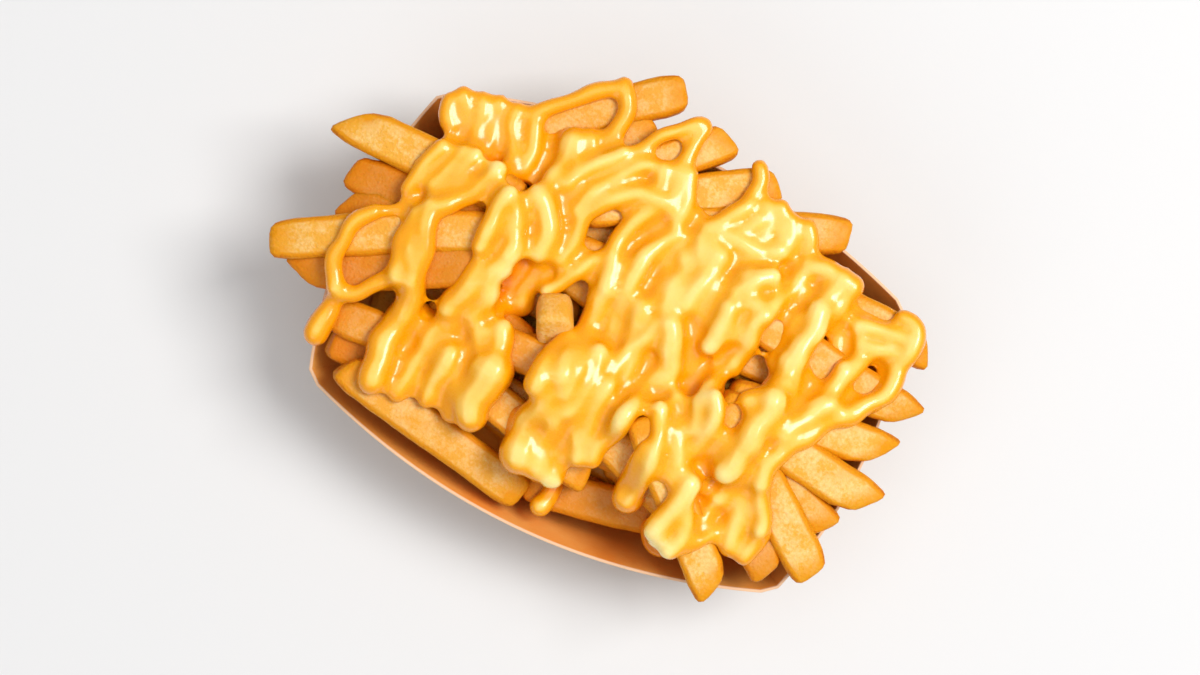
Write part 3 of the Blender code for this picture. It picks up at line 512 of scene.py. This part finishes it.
def new_piece(name, bm):
    """Turn a bmesh in millimetres into a smooth object in metres that replaces nothing yet."""
    bm.transform(Matrix.Scale(MM, 4))
    mesh = bpy.data.meshes.new(name)
    bm.to_mesh(mesh)
    bm.free()
    mesh.shade_smooth()
    piece = bpy.data.objects.new(name, mesh)
    bpy.context.scene.collection.objects.link(piece)
    return piece


def smooth_share(low, high, value):
    """How far a value lies from low to high, eased at both ends."""
    t = min(1.0, max(0.0, (value - low) / (high - low)))
    return t * t * (3 - 2 * t)


# Fries

def round_off(point, half, radius):
    """Round the edges and corners of a box by the radius."""
    inner = Vector([min(max(c, -(h - radius)), h - radius) for c, h in zip(point, half)])
    out = point - inner
    return inner + out.normalized() * min(out.length, radius) if out.length > radius else point


def fry_point(unit, fry, length, seed):
    """Where a point of the unit cube lies on an uneven, tapered, leaning fry."""
    half = Vector((length / 2, fry.width / 2, FRY_THICKNESS / 2))
    point = Vector((unit.x * length, unit.y * fry.width, unit.z * FRY_THICKNESS))
    point = round_off(point, half, FRY_ROUNDING)
    end = 1 if point.x > 0 else -1
    lean = fry.lean1 if end > 0 else fry.lean0
    tip = smooth_share(half.x - FRY_TAPER_LENGTH, half.x, abs(point.x))
    size = 1 - (FRY_TAPER + FRY_LEAN_TAPER * abs(lean)) * tip
    swell = 1 + FRY_UNEVENNESS * noise.noise(Vector((point.x / 14, seed, 0)))
    bow = FRY_BOW * noise.noise(Vector((seed, 3.7, 0))) * 2
    across = point.y * size * swell + bow * (2 * point.x / length) ** 2
    up = point.z * size * (1 + FRY_UNEVENNESS * noise.noise(Vector((point.x / 11, seed, 9))))
    corner = FRY_END_CURVE * (2 * point.y / fry.width) ** 4 * tip
    along = point.x - end * corner + lean * point.y * smooth_share(0, half.x, abs(point.x))
    return Vector((along, across, up))


def dents(point, seed):
    """Low bumps and hollows of the crust."""
    place = Vector((point.x / DENT_LENGTH, point.y / DENT_WIDTH, point.z / DENT_WIDTH + seed * 7))
    coarse = noise.noise(place * 0.45) * COARSE_DENT
    fine = noise.noise(place * 1.5) * FINE_DENT
    return coarse + fine


def browning_and_side_shade(unit, length, seed):
    """How browned the crust is: at the long edges, at the tips and in patches, with painted shade on
    the long sides.
    """
    to_side = abs(unit.y) * 2
    to_face = abs(unit.z) * 2
    edge = smooth_share(0.62, 1.0, to_side) * smooth_share(0.62, 1.0, to_face)
    tip = smooth_share(length / 2 - 8, length / 2 - 1, abs(unit.x) * length)
    patch = noise.noise(Vector((unit.x * length / 9, unit.y * 3, unit.z * 3 + seed))) * 0.5
    # Painted shade: the long sides are darker than the flat faces
    side = 0.4 if to_face < 0.95 else 0.0
    return min(1.0, max(0.0, 0.75 * edge + 0.4 * tip + 0.4 * patch + side))


def add_fry(bm, laid, seed, shade_and_tone):
    """Add one fry to the mesh: a finely divided bar, shaped point by point."""
    fry, length, place = laid
    bar = bmesh.new()
    bmesh.ops.create_cube(bar, size=1)
    along = [e for e in bar.edges if abs(e.verts[0].co.x - e.verts[1].co.x) > 0.5]
    bmesh.ops.subdivide_edges(bar, edges=along, cuts=FRY_CUTS_ALONG)
    across = [e for e in bar.edges if abs(e.verts[0].co.x - e.verts[1].co.x) < 0.001]
    bmesh.ops.subdivide_edges(bar, edges=across, cuts=FRY_CUTS_ACROSS, use_grid_fill=True)
    brown_and_side_shade = bar.verts.layers.float.new("browning_and_side_shade")
    shade_and_tone_layer = bar.verts.layers.float.new("shade_and_tone")
    bar.normal_update()
    for vert in bar.verts:
        unit = vert.co.copy()
        vert[brown_and_side_shade] = browning_and_side_shade(unit, length, seed) * (PALE_END_BROWNING_AND_SIDE_SHADE if shade_and_tone < 0 else 1.0)
        vert[shade_and_tone_layer] = shade_and_tone
        vert.co = fry_point(unit, fry, length, seed)
    bar.normal_update()
    for vert in bar.verts:
        vert.co += vert.normal * dents(vert.co, seed)
    bar.transform(place)
    mesh = bpy.data.meshes.new("bar")
    bar.to_mesh(mesh)
    bar.free()
    bm.from_mesh(mesh)
    bpy.data.meshes.remove(mesh)


def shading(fry, number):
    """How much painted shade a fry's colour gets, given its number in the heap, counted from the top.
    """
    if number > len(FRIES) + 1:
        return HIDDEN_SHADE
    by_depth = smooth_share(*SHADE_DEPTHS, fry.depth)
    return max(by_depth, COUNT_SHADE * smooth_share(*SHADE_COUNTS, number))


def make_fries(laid):
    """Every fry of the heap in one piece, with painted shade on the lower ones. A shade-and-tone
    value below nought marks the pale end that points up.
    """
    draw = random.Random(SEED + 2)
    bm = bmesh.new()
    bm.verts.layers.float.new("browning_and_side_shade")
    bm.verts.layers.float.new("shade_and_tone")
    for number, one in zip(range(len(laid), 0, -1), laid):
        shade_and_tone = -1.0
        if one is not laid[-1]:
            shade_and_tone = CHANCE_SHADE * draw.random() + (1 - CHANCE_SHADE) * shading(one[0], number)
        add_fry(bm, one, draw.uniform(0, 90), shade_and_tone)
    return new_piece("potato_fries", bm)


def make_core():
    """What fills the tray under the fries that show."""
    bm = bmesh.new()
    floor = inset(BASE, BOARD + PAPER_GAP)
    wall = core_outline()
    rings = [(floor, BOARD + PAPER_GAP)]
    for step in range(CORE_RINGS):
        share = 1 - step / CORE_RINGS
        ring = Outline(*(size * share for size in wall[:4]), wall.corner_cut)
        rings.append((ring, core_profile(share)))
    circles = []
    for outline, height in rings:
        points = [(x, y, height) for x, y in outline_points(outline, CORE_POINTS_PER_SIDE)]
        verts = [bm.verts.new(point) for point in points]
        edges = [bm.edges.new((a, b)) for a, b in zip(verts, verts[1:] + verts[:1])]
        circles.append(edges)
    for low, high in zip(circles, circles[1:]):
        bmesh.ops.bridge_loops(bm, edges=low + high)
    bmesh.ops.edgeloop_fill(bm, edges=circles[0])
    bmesh.ops.edgeloop_fill(bm, edges=circles[-1])
    bmesh.ops.recalc_face_normals(bm, faces=bm.faces)
    bm.normal_update()
    for vert in bm.verts:
        if vert.co.z > BOARD + PAPER_GAP + 1:
            vert.co.z += CORE_ROUGHNESS * noise.noise(vert.co / CORE_BUMP_LENGTH)
    return new_piece("heap_core", bm)


# Cheese sauce

def rope_path(rope, seed):
    """Points along a rope seen from above, about a millimetre apart, with a slow wobble."""
    start, end = Vector((rope.x0, rope.y0)), Vector((rope.x1, rope.y1))
    run = end - start
    left = Vector((-run.y, run.x)).normalized()
    middle = (start + end) / 2 + left * rope.bow * 2
    count = max(6, round(run.length))
    shares = [i / count for i in range(count + 1)]
    path = [start * (1 - t) ** 2 + middle * 2 * t * (1 - t) + end * t ** 2 for t in shares]
    swing = ROPE_WOBBLE * (rope.r0 + rope.r1) / 2
    sway = [noise.noise(Vector((i / ROPE_WAVE, seed, 4))) for i in range(count + 1)]
    return [point + left * swing * share for point, share in zip(path, sway)]


def slide(values, reach, pick):
    """Apply a pick, such as max or min, to the values within reach of each one."""
    return [pick(values[max(0, i - reach):i + reach + 1]) for i in range(len(values))]


def height_near(ground, point, radius):
    """The highest cell of the ground within a radius of a point."""
    near = (CELL_X - point.x) ** 2 + (CELL_Y - point.y) ** 2 <= radius ** 2
    return float(ground[near].max())


def rope_line(rope, ground, lift, seed):
    """Points of a rope's middle line, with radii: it spans narrow gaps and sags in wide ones."""
    path = rope_path(rope, seed)
    last = len(path) - 1
    radii = []
    for i in range(last + 1):
        plain = rope.r0 + (rope.r1 - rope.r0) * i / last
        radii.append(plain * (1 + ROPE_UNEVENNESS * noise.noise(Vector((i / ROPE_WAVE, seed, 0)))))
    under = [height_near(ground, point, max(1.0, 0.5 * r)) for point, r in zip(path, radii)]
    spanned = slide(slide(under, ROPE_BRIDGE, max), ROPE_BRIDGE, min)
    levels = [high * (1 - ROPE_SAG) + low * ROPE_SAG for high, low in zip(spanned, under)]
    smooth = slide(slide(levels, 3, np.mean), 3, np.mean)
    return [(Vector((*path[i], smooth[i] + lift * radii[i])), radii[i]) for i in range(last + 1)]


def with_round_ends(line):
    """Carry a line on past both ends in steps that get thinner, as half a ball does."""
    caps = []
    for (end, radius), (before, _) in ((line[0], line[1]), (line[-1], line[-2])):
        out = (end - before).normalized() * radius
        turns = [math.radians(angle) for angle in (25, 50, 70, 85)]
        caps.append([(end + out * math.sin(turn), radius * math.cos(turn)) for turn in turns])
    return [*reversed(caps[0]), *line, *caps[1]]


def add_tubes(lines):
    """A mesh of one round tube for each line."""
    curve = bpy.data.curves.new("ropes", "CURVE")
    curve.dimensions = "3D"
    curve.bevel_depth = 1
    curve.bevel_resolution = 3
    curve.use_fill_caps = True
    for line in lines:
        spline = curve.splines.new("POLY")
        spline.points.add(len(line) - 1)
        for knot, (place, radius) in zip(spline.points, line):
            knot.co = (*place, 1)
            knot.radius = radius
    guide = bpy.data.objects.new("ropes", curve)
    bpy.context.scene.collection.objects.link(guide)
    graph = bpy.context.evaluated_depsgraph_get()
    mesh = bpy.data.meshes.new_from_object(guide.evaluated_get(graph))
    bpy.data.objects.remove(guide, do_unlink=True)
    bpy.data.curves.remove(curve)
    return mesh


def make_cheese(heights):
    """The sauce: ropes swollen until they meet, run together, and drawn in again."""
    ground = np.maximum(heights, tray_heights() + CLEAR_OF_TRAY)
    lines = []
    for number, rope in enumerate((*ROPES, *FILMS)):
        lift = ROPE_LIFT if number < len(ROPES) else FILM_LIFT
        line = rope_line(rope, ground, lift, number * 3.3)
        lines.append(with_round_ends([(place, radius + SAUCE_REACH) for place, radius in line]))
    bm = bmesh.new()
    tubes = add_tubes(lines)
    bm.from_mesh(tubes)
    bpy.data.meshes.remove(tubes)
    cheese = new_piece("cheese_sauce", bm)
    flow = cheese.modifiers.new("Flow", "REMESH")
    flow.mode = "VOXEL"
    flow.voxel_size = CHEESE_GRAIN * MM
    flow.use_smooth_shade = True
    ease = cheese.modifiers.new("Ease", "SMOOTH")
    ease.factor = 0.5
    ease.iterations = 2
    draw_in = cheese.modifiers.new("Draw in", "DISPLACE")
    draw_in.mid_level = 0
    draw_in.strength = -SAUCE_REACH * MM
    soften = cheese.modifiers.new("Soften", "SMOOTH")
    soften.factor = 0.5
    soften.iterations = CHEESE_SOFTENING
    graph = bpy.context.evaluated_depsgraph_get()
    mesh = bpy.data.meshes.new_from_object(cheese.evaluated_get(graph))
    cheese.modifiers.clear()
    cheese.data = mesh
    store_relief(mesh, ground)
    return cheese


def blurred(grid, reach):
    """A height map smoothed over a square of cells, twice."""
    for axis in (0, 1, 0, 1):
        grid = sum(np.roll(grid, shift, axis) for shift in range(-reach, reach + 1)) / (2 * reach + 1)
    return grid


def sampled(grid, places):
    """Heights of a map at points that lie between its cells."""
    across = np.clip(places[:, 0] - CELL_X[0, 0], 0, CELL_X.shape[0] - 1.01)
    up = np.clip(places[:, 1] - CELL_Y[0, 0], 0, CELL_X.shape[1] - 1.01)
    column, row = across.astype(int), up.astype(int)
    share_x, share_y = across - column, up - row
    low = grid[column, row] * (1 - share_x) + grid[column + 1, row] * share_x
    high = grid[column, row + 1] * (1 - share_x) + grid[column + 1, row + 1] * share_x
    return low * (1 - share_y) + high * share_y


def store_relief(mesh, ground):
    """Keep how far each point stands above the fries and above the sauce round it, in millimetres.

    Points on a rope's flank or near the sauce's edge count as lower than its top, so that they get
    painted shade.
    """
    places = np.empty(len(mesh.vertices) * 3)
    mesh.vertices.foreach_get("co", places)
    places = places.reshape(-1, 3) / MM
    column = np.clip(np.rint(places[:, 0] - CELL_X[0, 0]).astype(int), 0, CELL_X.shape[0] - 1)
    row = np.clip(np.rint(places[:, 1] - CELL_Y[0, 0]).astype(int), 0, CELL_X.shape[1] - 1)
    surface = np.zeros(CELL_X.shape)
    np.maximum.at(surface, (column, row), places[:, 2])
    covered = (surface > 0).astype(float)
    share = blurred(covered, 2)
    around = blurred(surface, 2) / np.maximum(share, 0.01) + EDGE_SHADE * (1 - share)
    facing = np.empty(len(mesh.vertices) * 3)
    mesh.vertices.foreach_get("normal", facing)
    # Painted shade: points that face sideways count as lower
    side = FLANK_SHADE * (1 - facing[2::3])
    below = sampled(blurred(ground, 1), places)
    for name, level in (("thickness", below), ("relief_light_and_shade", sampled(around, places) + side)):
        layer = mesh.attributes.new(name, "FLOAT", "POINT")
        layer.data.foreach_set("value", places[:, 2] - level)


# Tray

def make_tray():
    """The folded tray: base, sides and rim from finely divided rings, then given its thickness."""
    bm = bmesh.new()
    circles = []
    for share in TRAY_RING_SHARES:
        outline = between(BASE, RIM, share)
        points = outline_points(outline, TRAY_POINTS_PER_SIDE)
        verts = [bm.verts.new((x, y, share * TRAY_HEIGHT)) for x, y in points]
        edges = [bm.edges.new((a, b)) for a, b in zip(verts, verts[1:] + verts[:1])]
        circles.append(edges)
    for low, high in zip(circles, circles[1:]):
        bmesh.ops.bridge_loops(bm, edges=low + high)
    bmesh.ops.edgeloop_fill(bm, edges=circles[0])
    bmesh.ops.recalc_face_normals(bm, faces=bm.faces)
    bm.normal_update()
    tray = new_piece("kraft_tray", bm)
    board = tray.modifiers.new("Board", "SOLIDIFY")
    board.thickness = BOARD * MM
    board.offset = -1
    board.use_even_offset = True
    board.use_quality_normals = True
    edge = tray.modifiers.new("Edge", "BEVEL")
    edge.width = CUT_EDGE * MM
    edge.segments = 2
    edge.limit_method = "ANGLE"
    edge.angle_limit = math.radians(50)
    tray.data.shade_smooth()
    tray.data.set_sharp_from_angle(angle=math.radians(24))
    return tray


# Shader groups

def new_group(name, inputs, outputs):
    """A shader group with named float, vector or colour sockets."""
    group = bpy.data.node_groups.new(name, "ShaderNodeTree")
    for label, kind, value in inputs:
        socket = group.interface.new_socket(name=label, in_out="INPUT", socket_type=kind)
        socket.default_value = value
    for label, kind in outputs:
        group.interface.new_socket(name=label, in_out="OUTPUT", socket_type=kind)
    return group, group.nodes.new("NodeGroupInput"), group.nodes.new("NodeGroupOutput")


def add_node(tree, kind, links=(), **settings):
    """A node with its plain settings, its input values and its incoming links."""
    node = tree.nodes.new(kind)
    for name, value in settings.items():
        setattr(node, name, value)
    for socket, value in links:
        if isinstance(value, bpy.types.NodeSocket):
            tree.links.new(value, node.inputs[socket])
        else:
            node.inputs[socket].default_value = value
    return node


def texture_place(tree):
    """Object coordinates, in metres."""
    return tree.nodes.new("ShaderNodeTexCoord").outputs["Object"]


def noise_of(tree, place, scale, detail=4.0, roughness=0.55):
    """A noise pattern with so many bumps a metre."""
    links = [("Vector", place), ("Scale", scale), ("Detail", detail), ("Roughness", roughness)]
    return add_node(tree, "ShaderNodeTexNoise", links).outputs["Fac"]


def remap(tree, value, low, high, new_low=0.0, new_high=1.0):
    """Stretch a value from one range to another, and clamp it."""
    links = [("Value", value), ("From Min", low), ("From Max", high)]
    links += [("To Min", new_low), ("To Max", new_high)]
    return add_node(tree, "ShaderNodeMapRange", links).outputs["Result"]


def blend_colour(tree, share, first, second, mode="MIX"):
    """Mix two colours by a share."""
    node = add_node(tree, "ShaderNodeMix", data_type="RGBA", blend_type=mode)
    for socket, value in ((node.inputs[0], share), (node.inputs[6], first), (node.inputs[7], second)):
        if isinstance(value, bpy.types.NodeSocket):
            tree.links.new(value, socket)
        else:
            socket.default_value = value
    return node.outputs[2]


def calc(tree, operation, first, second):
    """One sum of two values."""
    node = add_node(tree, "ShaderNodeMath", [(0, first), (1, second)], operation=operation)
    return node.outputs[0]


def attribute(tree, name):
    """A value kept at each point of the piece's mesh."""
    return add_node(tree, "ShaderNodeAttribute", attribute_name=name).outputs["Fac"]


def make_speckle_group():
    """Fine speckles and slow patches, for crust, paper and sauce alike."""
    group, inputs, outputs = new_group(
        "Speckle and patches",
        [("Vector", "NodeSocketVector", (0, 0, 0)),
         ("Speckle Scale", "NodeSocketFloat", 2000.0),
         ("Patch Scale", "NodeSocketFloat", 150.0)],
        [("Speckle", "NodeSocketFloat"), ("Patches", "NodeSocketFloat")])
    speckle = noise_of(group, inputs.outputs["Vector"], inputs.outputs["Speckle Scale"], 3.0, 0.6)
    patches = noise_of(group, inputs.outputs["Vector"], inputs.outputs["Patch Scale"], 3.0, 0.5)
    group.links.new(remap(group, speckle, 0.3, 0.7), outputs.inputs["Speckle"])
    group.links.new(remap(group, patches, 0.3, 0.7), outputs.inputs["Patches"])
    return group


def use_group(tree, group, place, speckle_scale, patch_scale):
    """Put the speckle group in a material, and return its two patterns."""
    links = [("Vector", place), ("Speckle Scale", speckle_scale), ("Patch Scale", patch_scale)]
    node = add_node(tree, "ShaderNodeGroup", node_tree=group)
    for socket, value in links:
        if isinstance(value, bpy.types.NodeSocket):
            tree.links.new(value, node.inputs[socket])
        else:
            node.inputs[socket].default_value = value
    return node.outputs["Speckle"], node.outputs["Patches"]


def new_material(name, roughness):
    """A material with its node tree and its Principled shader."""
    material = bpy.data.materials.new(name)
    material.use_nodes = True
    shader = material.node_tree.nodes["Principled BSDF"]
    shader.inputs["Roughness"].default_value = roughness
    return material, material.node_tree, shader


def bump(tree, shader, height, strength, distance):
    """Fine relief from a pattern of heights."""
    links = [("Height", height), ("Strength", strength), ("Distance", distance)]
    node = add_node(tree, "ShaderNodeBump", links)
    tree.links.new(node.outputs["Normal"], shader.inputs["Normal"])


# Colours, linear. Sauce goes from painted light on its crests to painted shade in its creases.
CREAM = (0.80, 0.40, 0.045, 1)
STARCH = (0.90, 0.66, 0.27, 1)
GOLD = (0.76, 0.30, 0.004, 1)
SHADED_GOLD = (0.63, 0.18, 0.002, 1)
BROWN = (0.52, 0.11, 0.003, 1)
SAUCE = (0.97, 0.50, 0.018, 1)
SAUCE_LIT_CREST = (0.99, 0.73, 0.25, 1)
SAUCE_SHADE_AND_THIN = (0.88, 0.34, 0.001, 1)
SAUCE_CREASE_SHADE = (0.82, 0.24, 0.001, 1)
KRAFT_INSIDE_BOUNCE = (0.90, 0.32, 0.035, 1)
KRAFT_INSIDE_BOUNCE_PALE = (0.92, 0.44, 0.09, 1)
KRAFT_EDGE = (0.88, 0.56, 0.34, 1)
KRAFT_OUTSIDE = (0.62, 0.33, 0.14, 1)
KRAFT_OUTSIDE_PALE = (0.70, 0.41, 0.19, 1)


def fried_potato(speckles):
    """Golden crust: pale starchy faces, browned edges and tips, and tiny blisters, with painted shade
    on the lower fries, on the long sides and towards the tray's left end.
    """
    material, tree, shader = new_material("Fried potato", 0.5)
    place = texture_place(tree)
    speckle, patches = use_group(tree, speckles, place, 1100.0, 230.0)
    brown_and_side_shade = attribute(tree, "browning_and_side_shade")
    shade_and_tone = attribute(tree, "shade_and_tone")
    along = add_node(tree, "ShaderNodeSeparateXYZ", [("Vector", place)]).outputs["X"]
    # Painted shade: the starchy paleness fades towards the tray's left end, on top of random patches
    patches_and_left_shade = calc(tree, "ADD", patches, remap(tree, along, -0.06, 0.06, -0.14, -0.02))
    speckled = calc(tree, "ADD", patches_and_left_shade, calc(tree, "MULTIPLY", speckle, 0.65))
    starchy = remap(tree, speckled, 0.5, 1.3)
    face = blend_colour(tree, starchy, CREAM, STARCH)
    golden = calc(tree, "ADD", brown_and_side_shade, calc(tree, "MULTIPLY", patches, 0.25))
    face = blend_colour(tree, remap(tree, golden, 0.12, 0.55), face, GOLD)
    browned_and_side_shade = calc(tree, "ADD", brown_and_side_shade, calc(tree, "MULTIPLY", speckle, 0.3))
    face = blend_colour(tree, remap(tree, browned_and_side_shade, 0.75, 1.35), face, BROWN)
    # Painted shade: lower and covered fries are blended towards a shaded gold
    face = blend_colour(tree, remap(tree, shade_and_tone, 0.05, 0.8, 0.0, 0.85), face, SHADED_GOLD)
    tree.links.new(face, shader.inputs["Base Color"])
    cells = add_node(tree, "ShaderNodeTexVoronoi", [("Vector", place), ("Scale", 900.0)])
    blisters = remap(tree, cells.outputs["Distance"], 0.0, 0.45, 0.0, 0.6)
    grain = calc(tree, "ADD", calc(tree, "MULTIPLY", speckle, 0.7), blisters)
    bump(tree, shader, grain, 0.55, 0.0003)
    tree.links.new(remap(tree, speckle, 0.0, 1.0, 0.42, 0.62), shader.inputs["Roughness"])
    shader.inputs["Subsurface Weight"].default_value = 0.25
    shader.inputs["Subsurface Radius"].default_value = (1.0, 0.45, 0.15)
    shader.inputs["Subsurface Scale"].default_value = 0.0015
    shader.inputs["Specular IOR Level"].default_value = 0.14
    shader.inputs["Coat Weight"].default_value = 0.06
    shader.inputs["Coat Roughness"].default_value = 0.3
    return material


def cheese_sauce(speckles):
    """Glossy yellow sauce, with painted light along its crests and painted shade in its creases, on
    its flanks and at its edges; it is deeper in colour where it is thin.

    The crests also get painted shade towards the tray's left end.
    """
    material, tree, shader = new_material("Cheese sauce", 0.27)
    place = texture_place(tree)
    speckle, patches = use_group(tree, speckles, place, 900.0, 70.0)
    thickness = attribute(tree, "thickness")
    relief_light_and_shade = attribute(tree, "relief_light_and_shade")
    wander = calc(tree, "MULTIPLY", calc(tree, "SUBTRACT", patches, 0.5), 0.5)
    height = calc(tree, "ADD", relief_light_and_shade, wander)
    # Painted shade: the sauce gets deeper in colour towards the tray's left end
    along = add_node(tree, "ShaderNodeSeparateXYZ", [("Vector", place)]).outputs["X"]
    height = calc(tree, "ADD", height, remap(tree, along, -0.06, 0.01, -0.5, 0.0))
    # Painted shade in low places and painted light on the crests; thin sauce is deeper in colour too
    colour = blend_colour(tree, remap(tree, height, -1.2, 0.2), SAUCE_SHADE_AND_THIN, SAUCE)
    lit_share = calc(tree, "MULTIPLY", remap(tree, height, -0.5, 0.95), remap(tree, thickness, 1.0, 3.2))
    colour = blend_colour(tree, lit_share, colour, SAUCE_LIT_CREST)
    colour = blend_colour(tree, remap(tree, thickness, 0.0, 1.3), SAUCE_SHADE_AND_THIN, colour)
    # Painted shade in the deepest creases
    colour = blend_colour(tree, remap(tree, height, -4.8, -2.8), SAUCE_CREASE_SHADE, colour)
    tree.links.new(colour, shader.inputs["Base Color"])
    bump(tree, shader, patches, 0.1, 0.0006)
    tree.links.new(remap(tree, speckle, 0.0, 1.0, 0.24, 0.32), shader.inputs["Roughness"])
    shader.inputs["Subsurface Weight"].default_value = 0.3
    shader.inputs["Subsurface Radius"].default_value = (1.0, 0.6, 0.2)
    shader.inputs["Subsurface Scale"].default_value = 0.0014
    shader.inputs["Specular IOR Level"].default_value = 0.2
    shader.inputs["Coat Weight"].default_value = 0.7
    shader.inputs["Coat Roughness"].default_value = 0.16
    return material


def facing_out(tree, place):
    """One on the tray's outer faces and underside, nought on the faces towards the food."""
    links = [(0, place), (1, (0, 0, HEAP_TOP * MM))]
    from_heap = add_node(tree, "ShaderNodeVectorMath", links, operation="SUBTRACT").outputs[0]
    facing = tree.nodes.new("ShaderNodeTexCoord").outputs["Normal"]
    links = [(0, from_heap), (1, facing)]
    along = add_node(tree, "ShaderNodeVectorMath", links, operation="DOT_PRODUCT").outputs["Value"]
    return remap(tree, along, -MM, MM)


def kraft_paper(speckles):
    """Uncoated brown board: fibres, flecks, a paler cut edge at the rim, and a duller outside; the
    inside has painted orange bounce light from the food.
    """
    material, tree, shader = new_material("Kraft paper", 0.85)
    place = texture_place(tree)
    speckle, patches = use_group(tree, speckles, place, 2600.0, 60.0)
    stretched = add_node(tree, "ShaderNodeMapping", [("Vector", place), ("Scale", (1.0, 5.0, 5.0))])
    fibres = noise_of(tree, stretched.outputs[0], 420.0, 6.0, 0.7)
    half_patches = calc(tree, "MULTIPLY", patches, 0.5)
    half_fibres = calc(tree, "MULTIPLY", fibres, 0.5)
    fibre_share = remap(tree, calc(tree, "ADD", half_patches, half_fibres), 0.3, 0.75)
    # Painted light: the faces towards the food carry orange light thrown back by the fries and sauce
    inside_with_bounce_light = blend_colour(tree, fibre_share, KRAFT_INSIDE_BOUNCE, KRAFT_INSIDE_BOUNCE_PALE)
    outside = blend_colour(tree, fibre_share, KRAFT_OUTSIDE, KRAFT_OUTSIDE_PALE)
    colour = blend_colour(tree, facing_out(tree, place), inside_with_bounce_light, outside)
    height = add_node(tree, "ShaderNodeSeparateXYZ", [("Vector", place)]).outputs["Z"]
    edge = remap(tree, height, (TRAY_HEIGHT - CUT_EDGE) * MM, (TRAY_HEIGHT + 0.05) * MM)
    colour = blend_colour(tree, edge, colour, KRAFT_EDGE)
    tree.links.new(colour, shader.inputs["Base Color"])
    bump(tree, shader, calc(tree, "ADD", fibres, calc(tree, "MULTIPLY", speckle, 0.4)), 0.35, 0.0002)
    tree.links.new(remap(tree, speckle, 0.0, 1.0, 0.78, 0.92), shader.inputs["Roughness"])
    return material


def dark_core(speckles):
    """What shows deep between the fries: golden crust, which the fries over it shade."""
    material, tree, shader = new_material("Shaded crust", 0.6)
    place = texture_place(tree)
    speckle, patches = use_group(tree, speckles, place, 900.0, 160.0)
    tree.links.new(blend_colour(tree, patches, GOLD, CREAM), shader.inputs["Base Color"])
    bump(tree, shader, speckle, 0.4, 0.0004)
    return material


def dress(piece, material, slot_name, *nodes):
    """Give a piece its material, and let it stand for its solids."""
    piece.data.materials.clear()
    piece.data.materials.append(material)
    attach(piece, "root")
    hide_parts(*nodes)


# Stage

def make_floor():
    """A plain pale table, kept out of the object."""
    bm = bmesh.new()
    bmesh.ops.create_grid(bm, x_segments=1, y_segments=1, size=900)
    floor = new_piece("floor", bm)
    material, _, shader = new_material("Pale floor", 0.6)
    shader.inputs["Base Color"].default_value = (0.72, 0.72, 0.725, 1)
    floor.data.materials.append(material)


def add_light(name, place, target, size, power, colour=(1, 1, 1)):
    """A square soft light at a place, turned to a target."""
    lamp = bpy.data.lights.new(name, "AREA")
    lamp.shape = "SQUARE"
    lamp.size = size
    lamp.energy = power
    lamp.color = colour
    light = bpy.data.objects.new(name, lamp)
    light.location = place
    aim = Vector(target) - Vector(place)
    light.rotation_euler = aim.to_track_quat("-Z", "Y").to_euler()
    bpy.context.scene.collection.objects.link(light)


def seen_place(right, up, height):
    """A point given as the photo sees it: to the right, up the picture, and above the table."""
    x = right * math.cos(VIEW_TURN) - up * math.sin(VIEW_TURN)
    y = right * math.sin(VIEW_TURN) + up * math.cos(VIEW_TURN)
    return (x, y, height)


def make_lights():
    """Key from the right, a wide light over the table and a little fill from the lower left."""
    add_light("key", seen_place(1.1, 0.25, 1.9), (0, 0, 0.03), 0.9, 39.0, (1.0, 0.985, 0.96))
    add_light("top", seen_place(-0.1, 0.1, 2.0), (0, 0, 0), 1.6, 8.0)
    add_light("fill", seen_place(-0.9, -1.1, 1.3), (0, 0, 0.03), 1.2, 5.0)
    world = bpy.data.worlds.new("Soft room")
    world.use_nodes = True
    background = world.node_tree.nodes["Background"]
    background.inputs["Color"].default_value = (0.97, 0.98, 1.0, 1)
    background.inputs["Strength"].default_value = 0.38
    bpy.context.scene.world = world


def make_camera():
    """The photo's camera, which looks straight down."""
    lens = bpy.data.cameras.new("Camera")
    lens.lens = VIEW_LENS
    lens.sensor_width = 36
    lens.clip_start = 0.01
    camera = bpy.data.objects.new("Camera", lens)
    camera.location = (*VIEW_OFFSET, VIEW_HEIGHT)
    camera.rotation_euler = (0, 0, VIEW_TURN)
    bpy.context.scene.collection.objects.link(camera)
    bpy.context.scene.camera = camera


def plain(box):
    """A box as plain lists of numbers."""
    return [[float(value) for value in corner] for corner in box]


def main():
    """Lay the heap, make and dress the four pieces, and set the stage."""
    bpy.context.scene.view_settings.view_transform = "Standard"
    laid, heights = lay_all()
    speckles = make_speckle_group()
    dress(make_tray(), kraft_paper(speckles), "kraft_paper", "paper_tray")
    dress(make_core(), dark_core(speckles), "fries", "fries")
    dress(make_fries(laid), fried_potato(speckles), "fries", "fries")
    dress(make_cheese(heights), cheese_sauce(speckles), "fries", "fries")
    make_floor()
    make_lights()
    make_camera()


main()
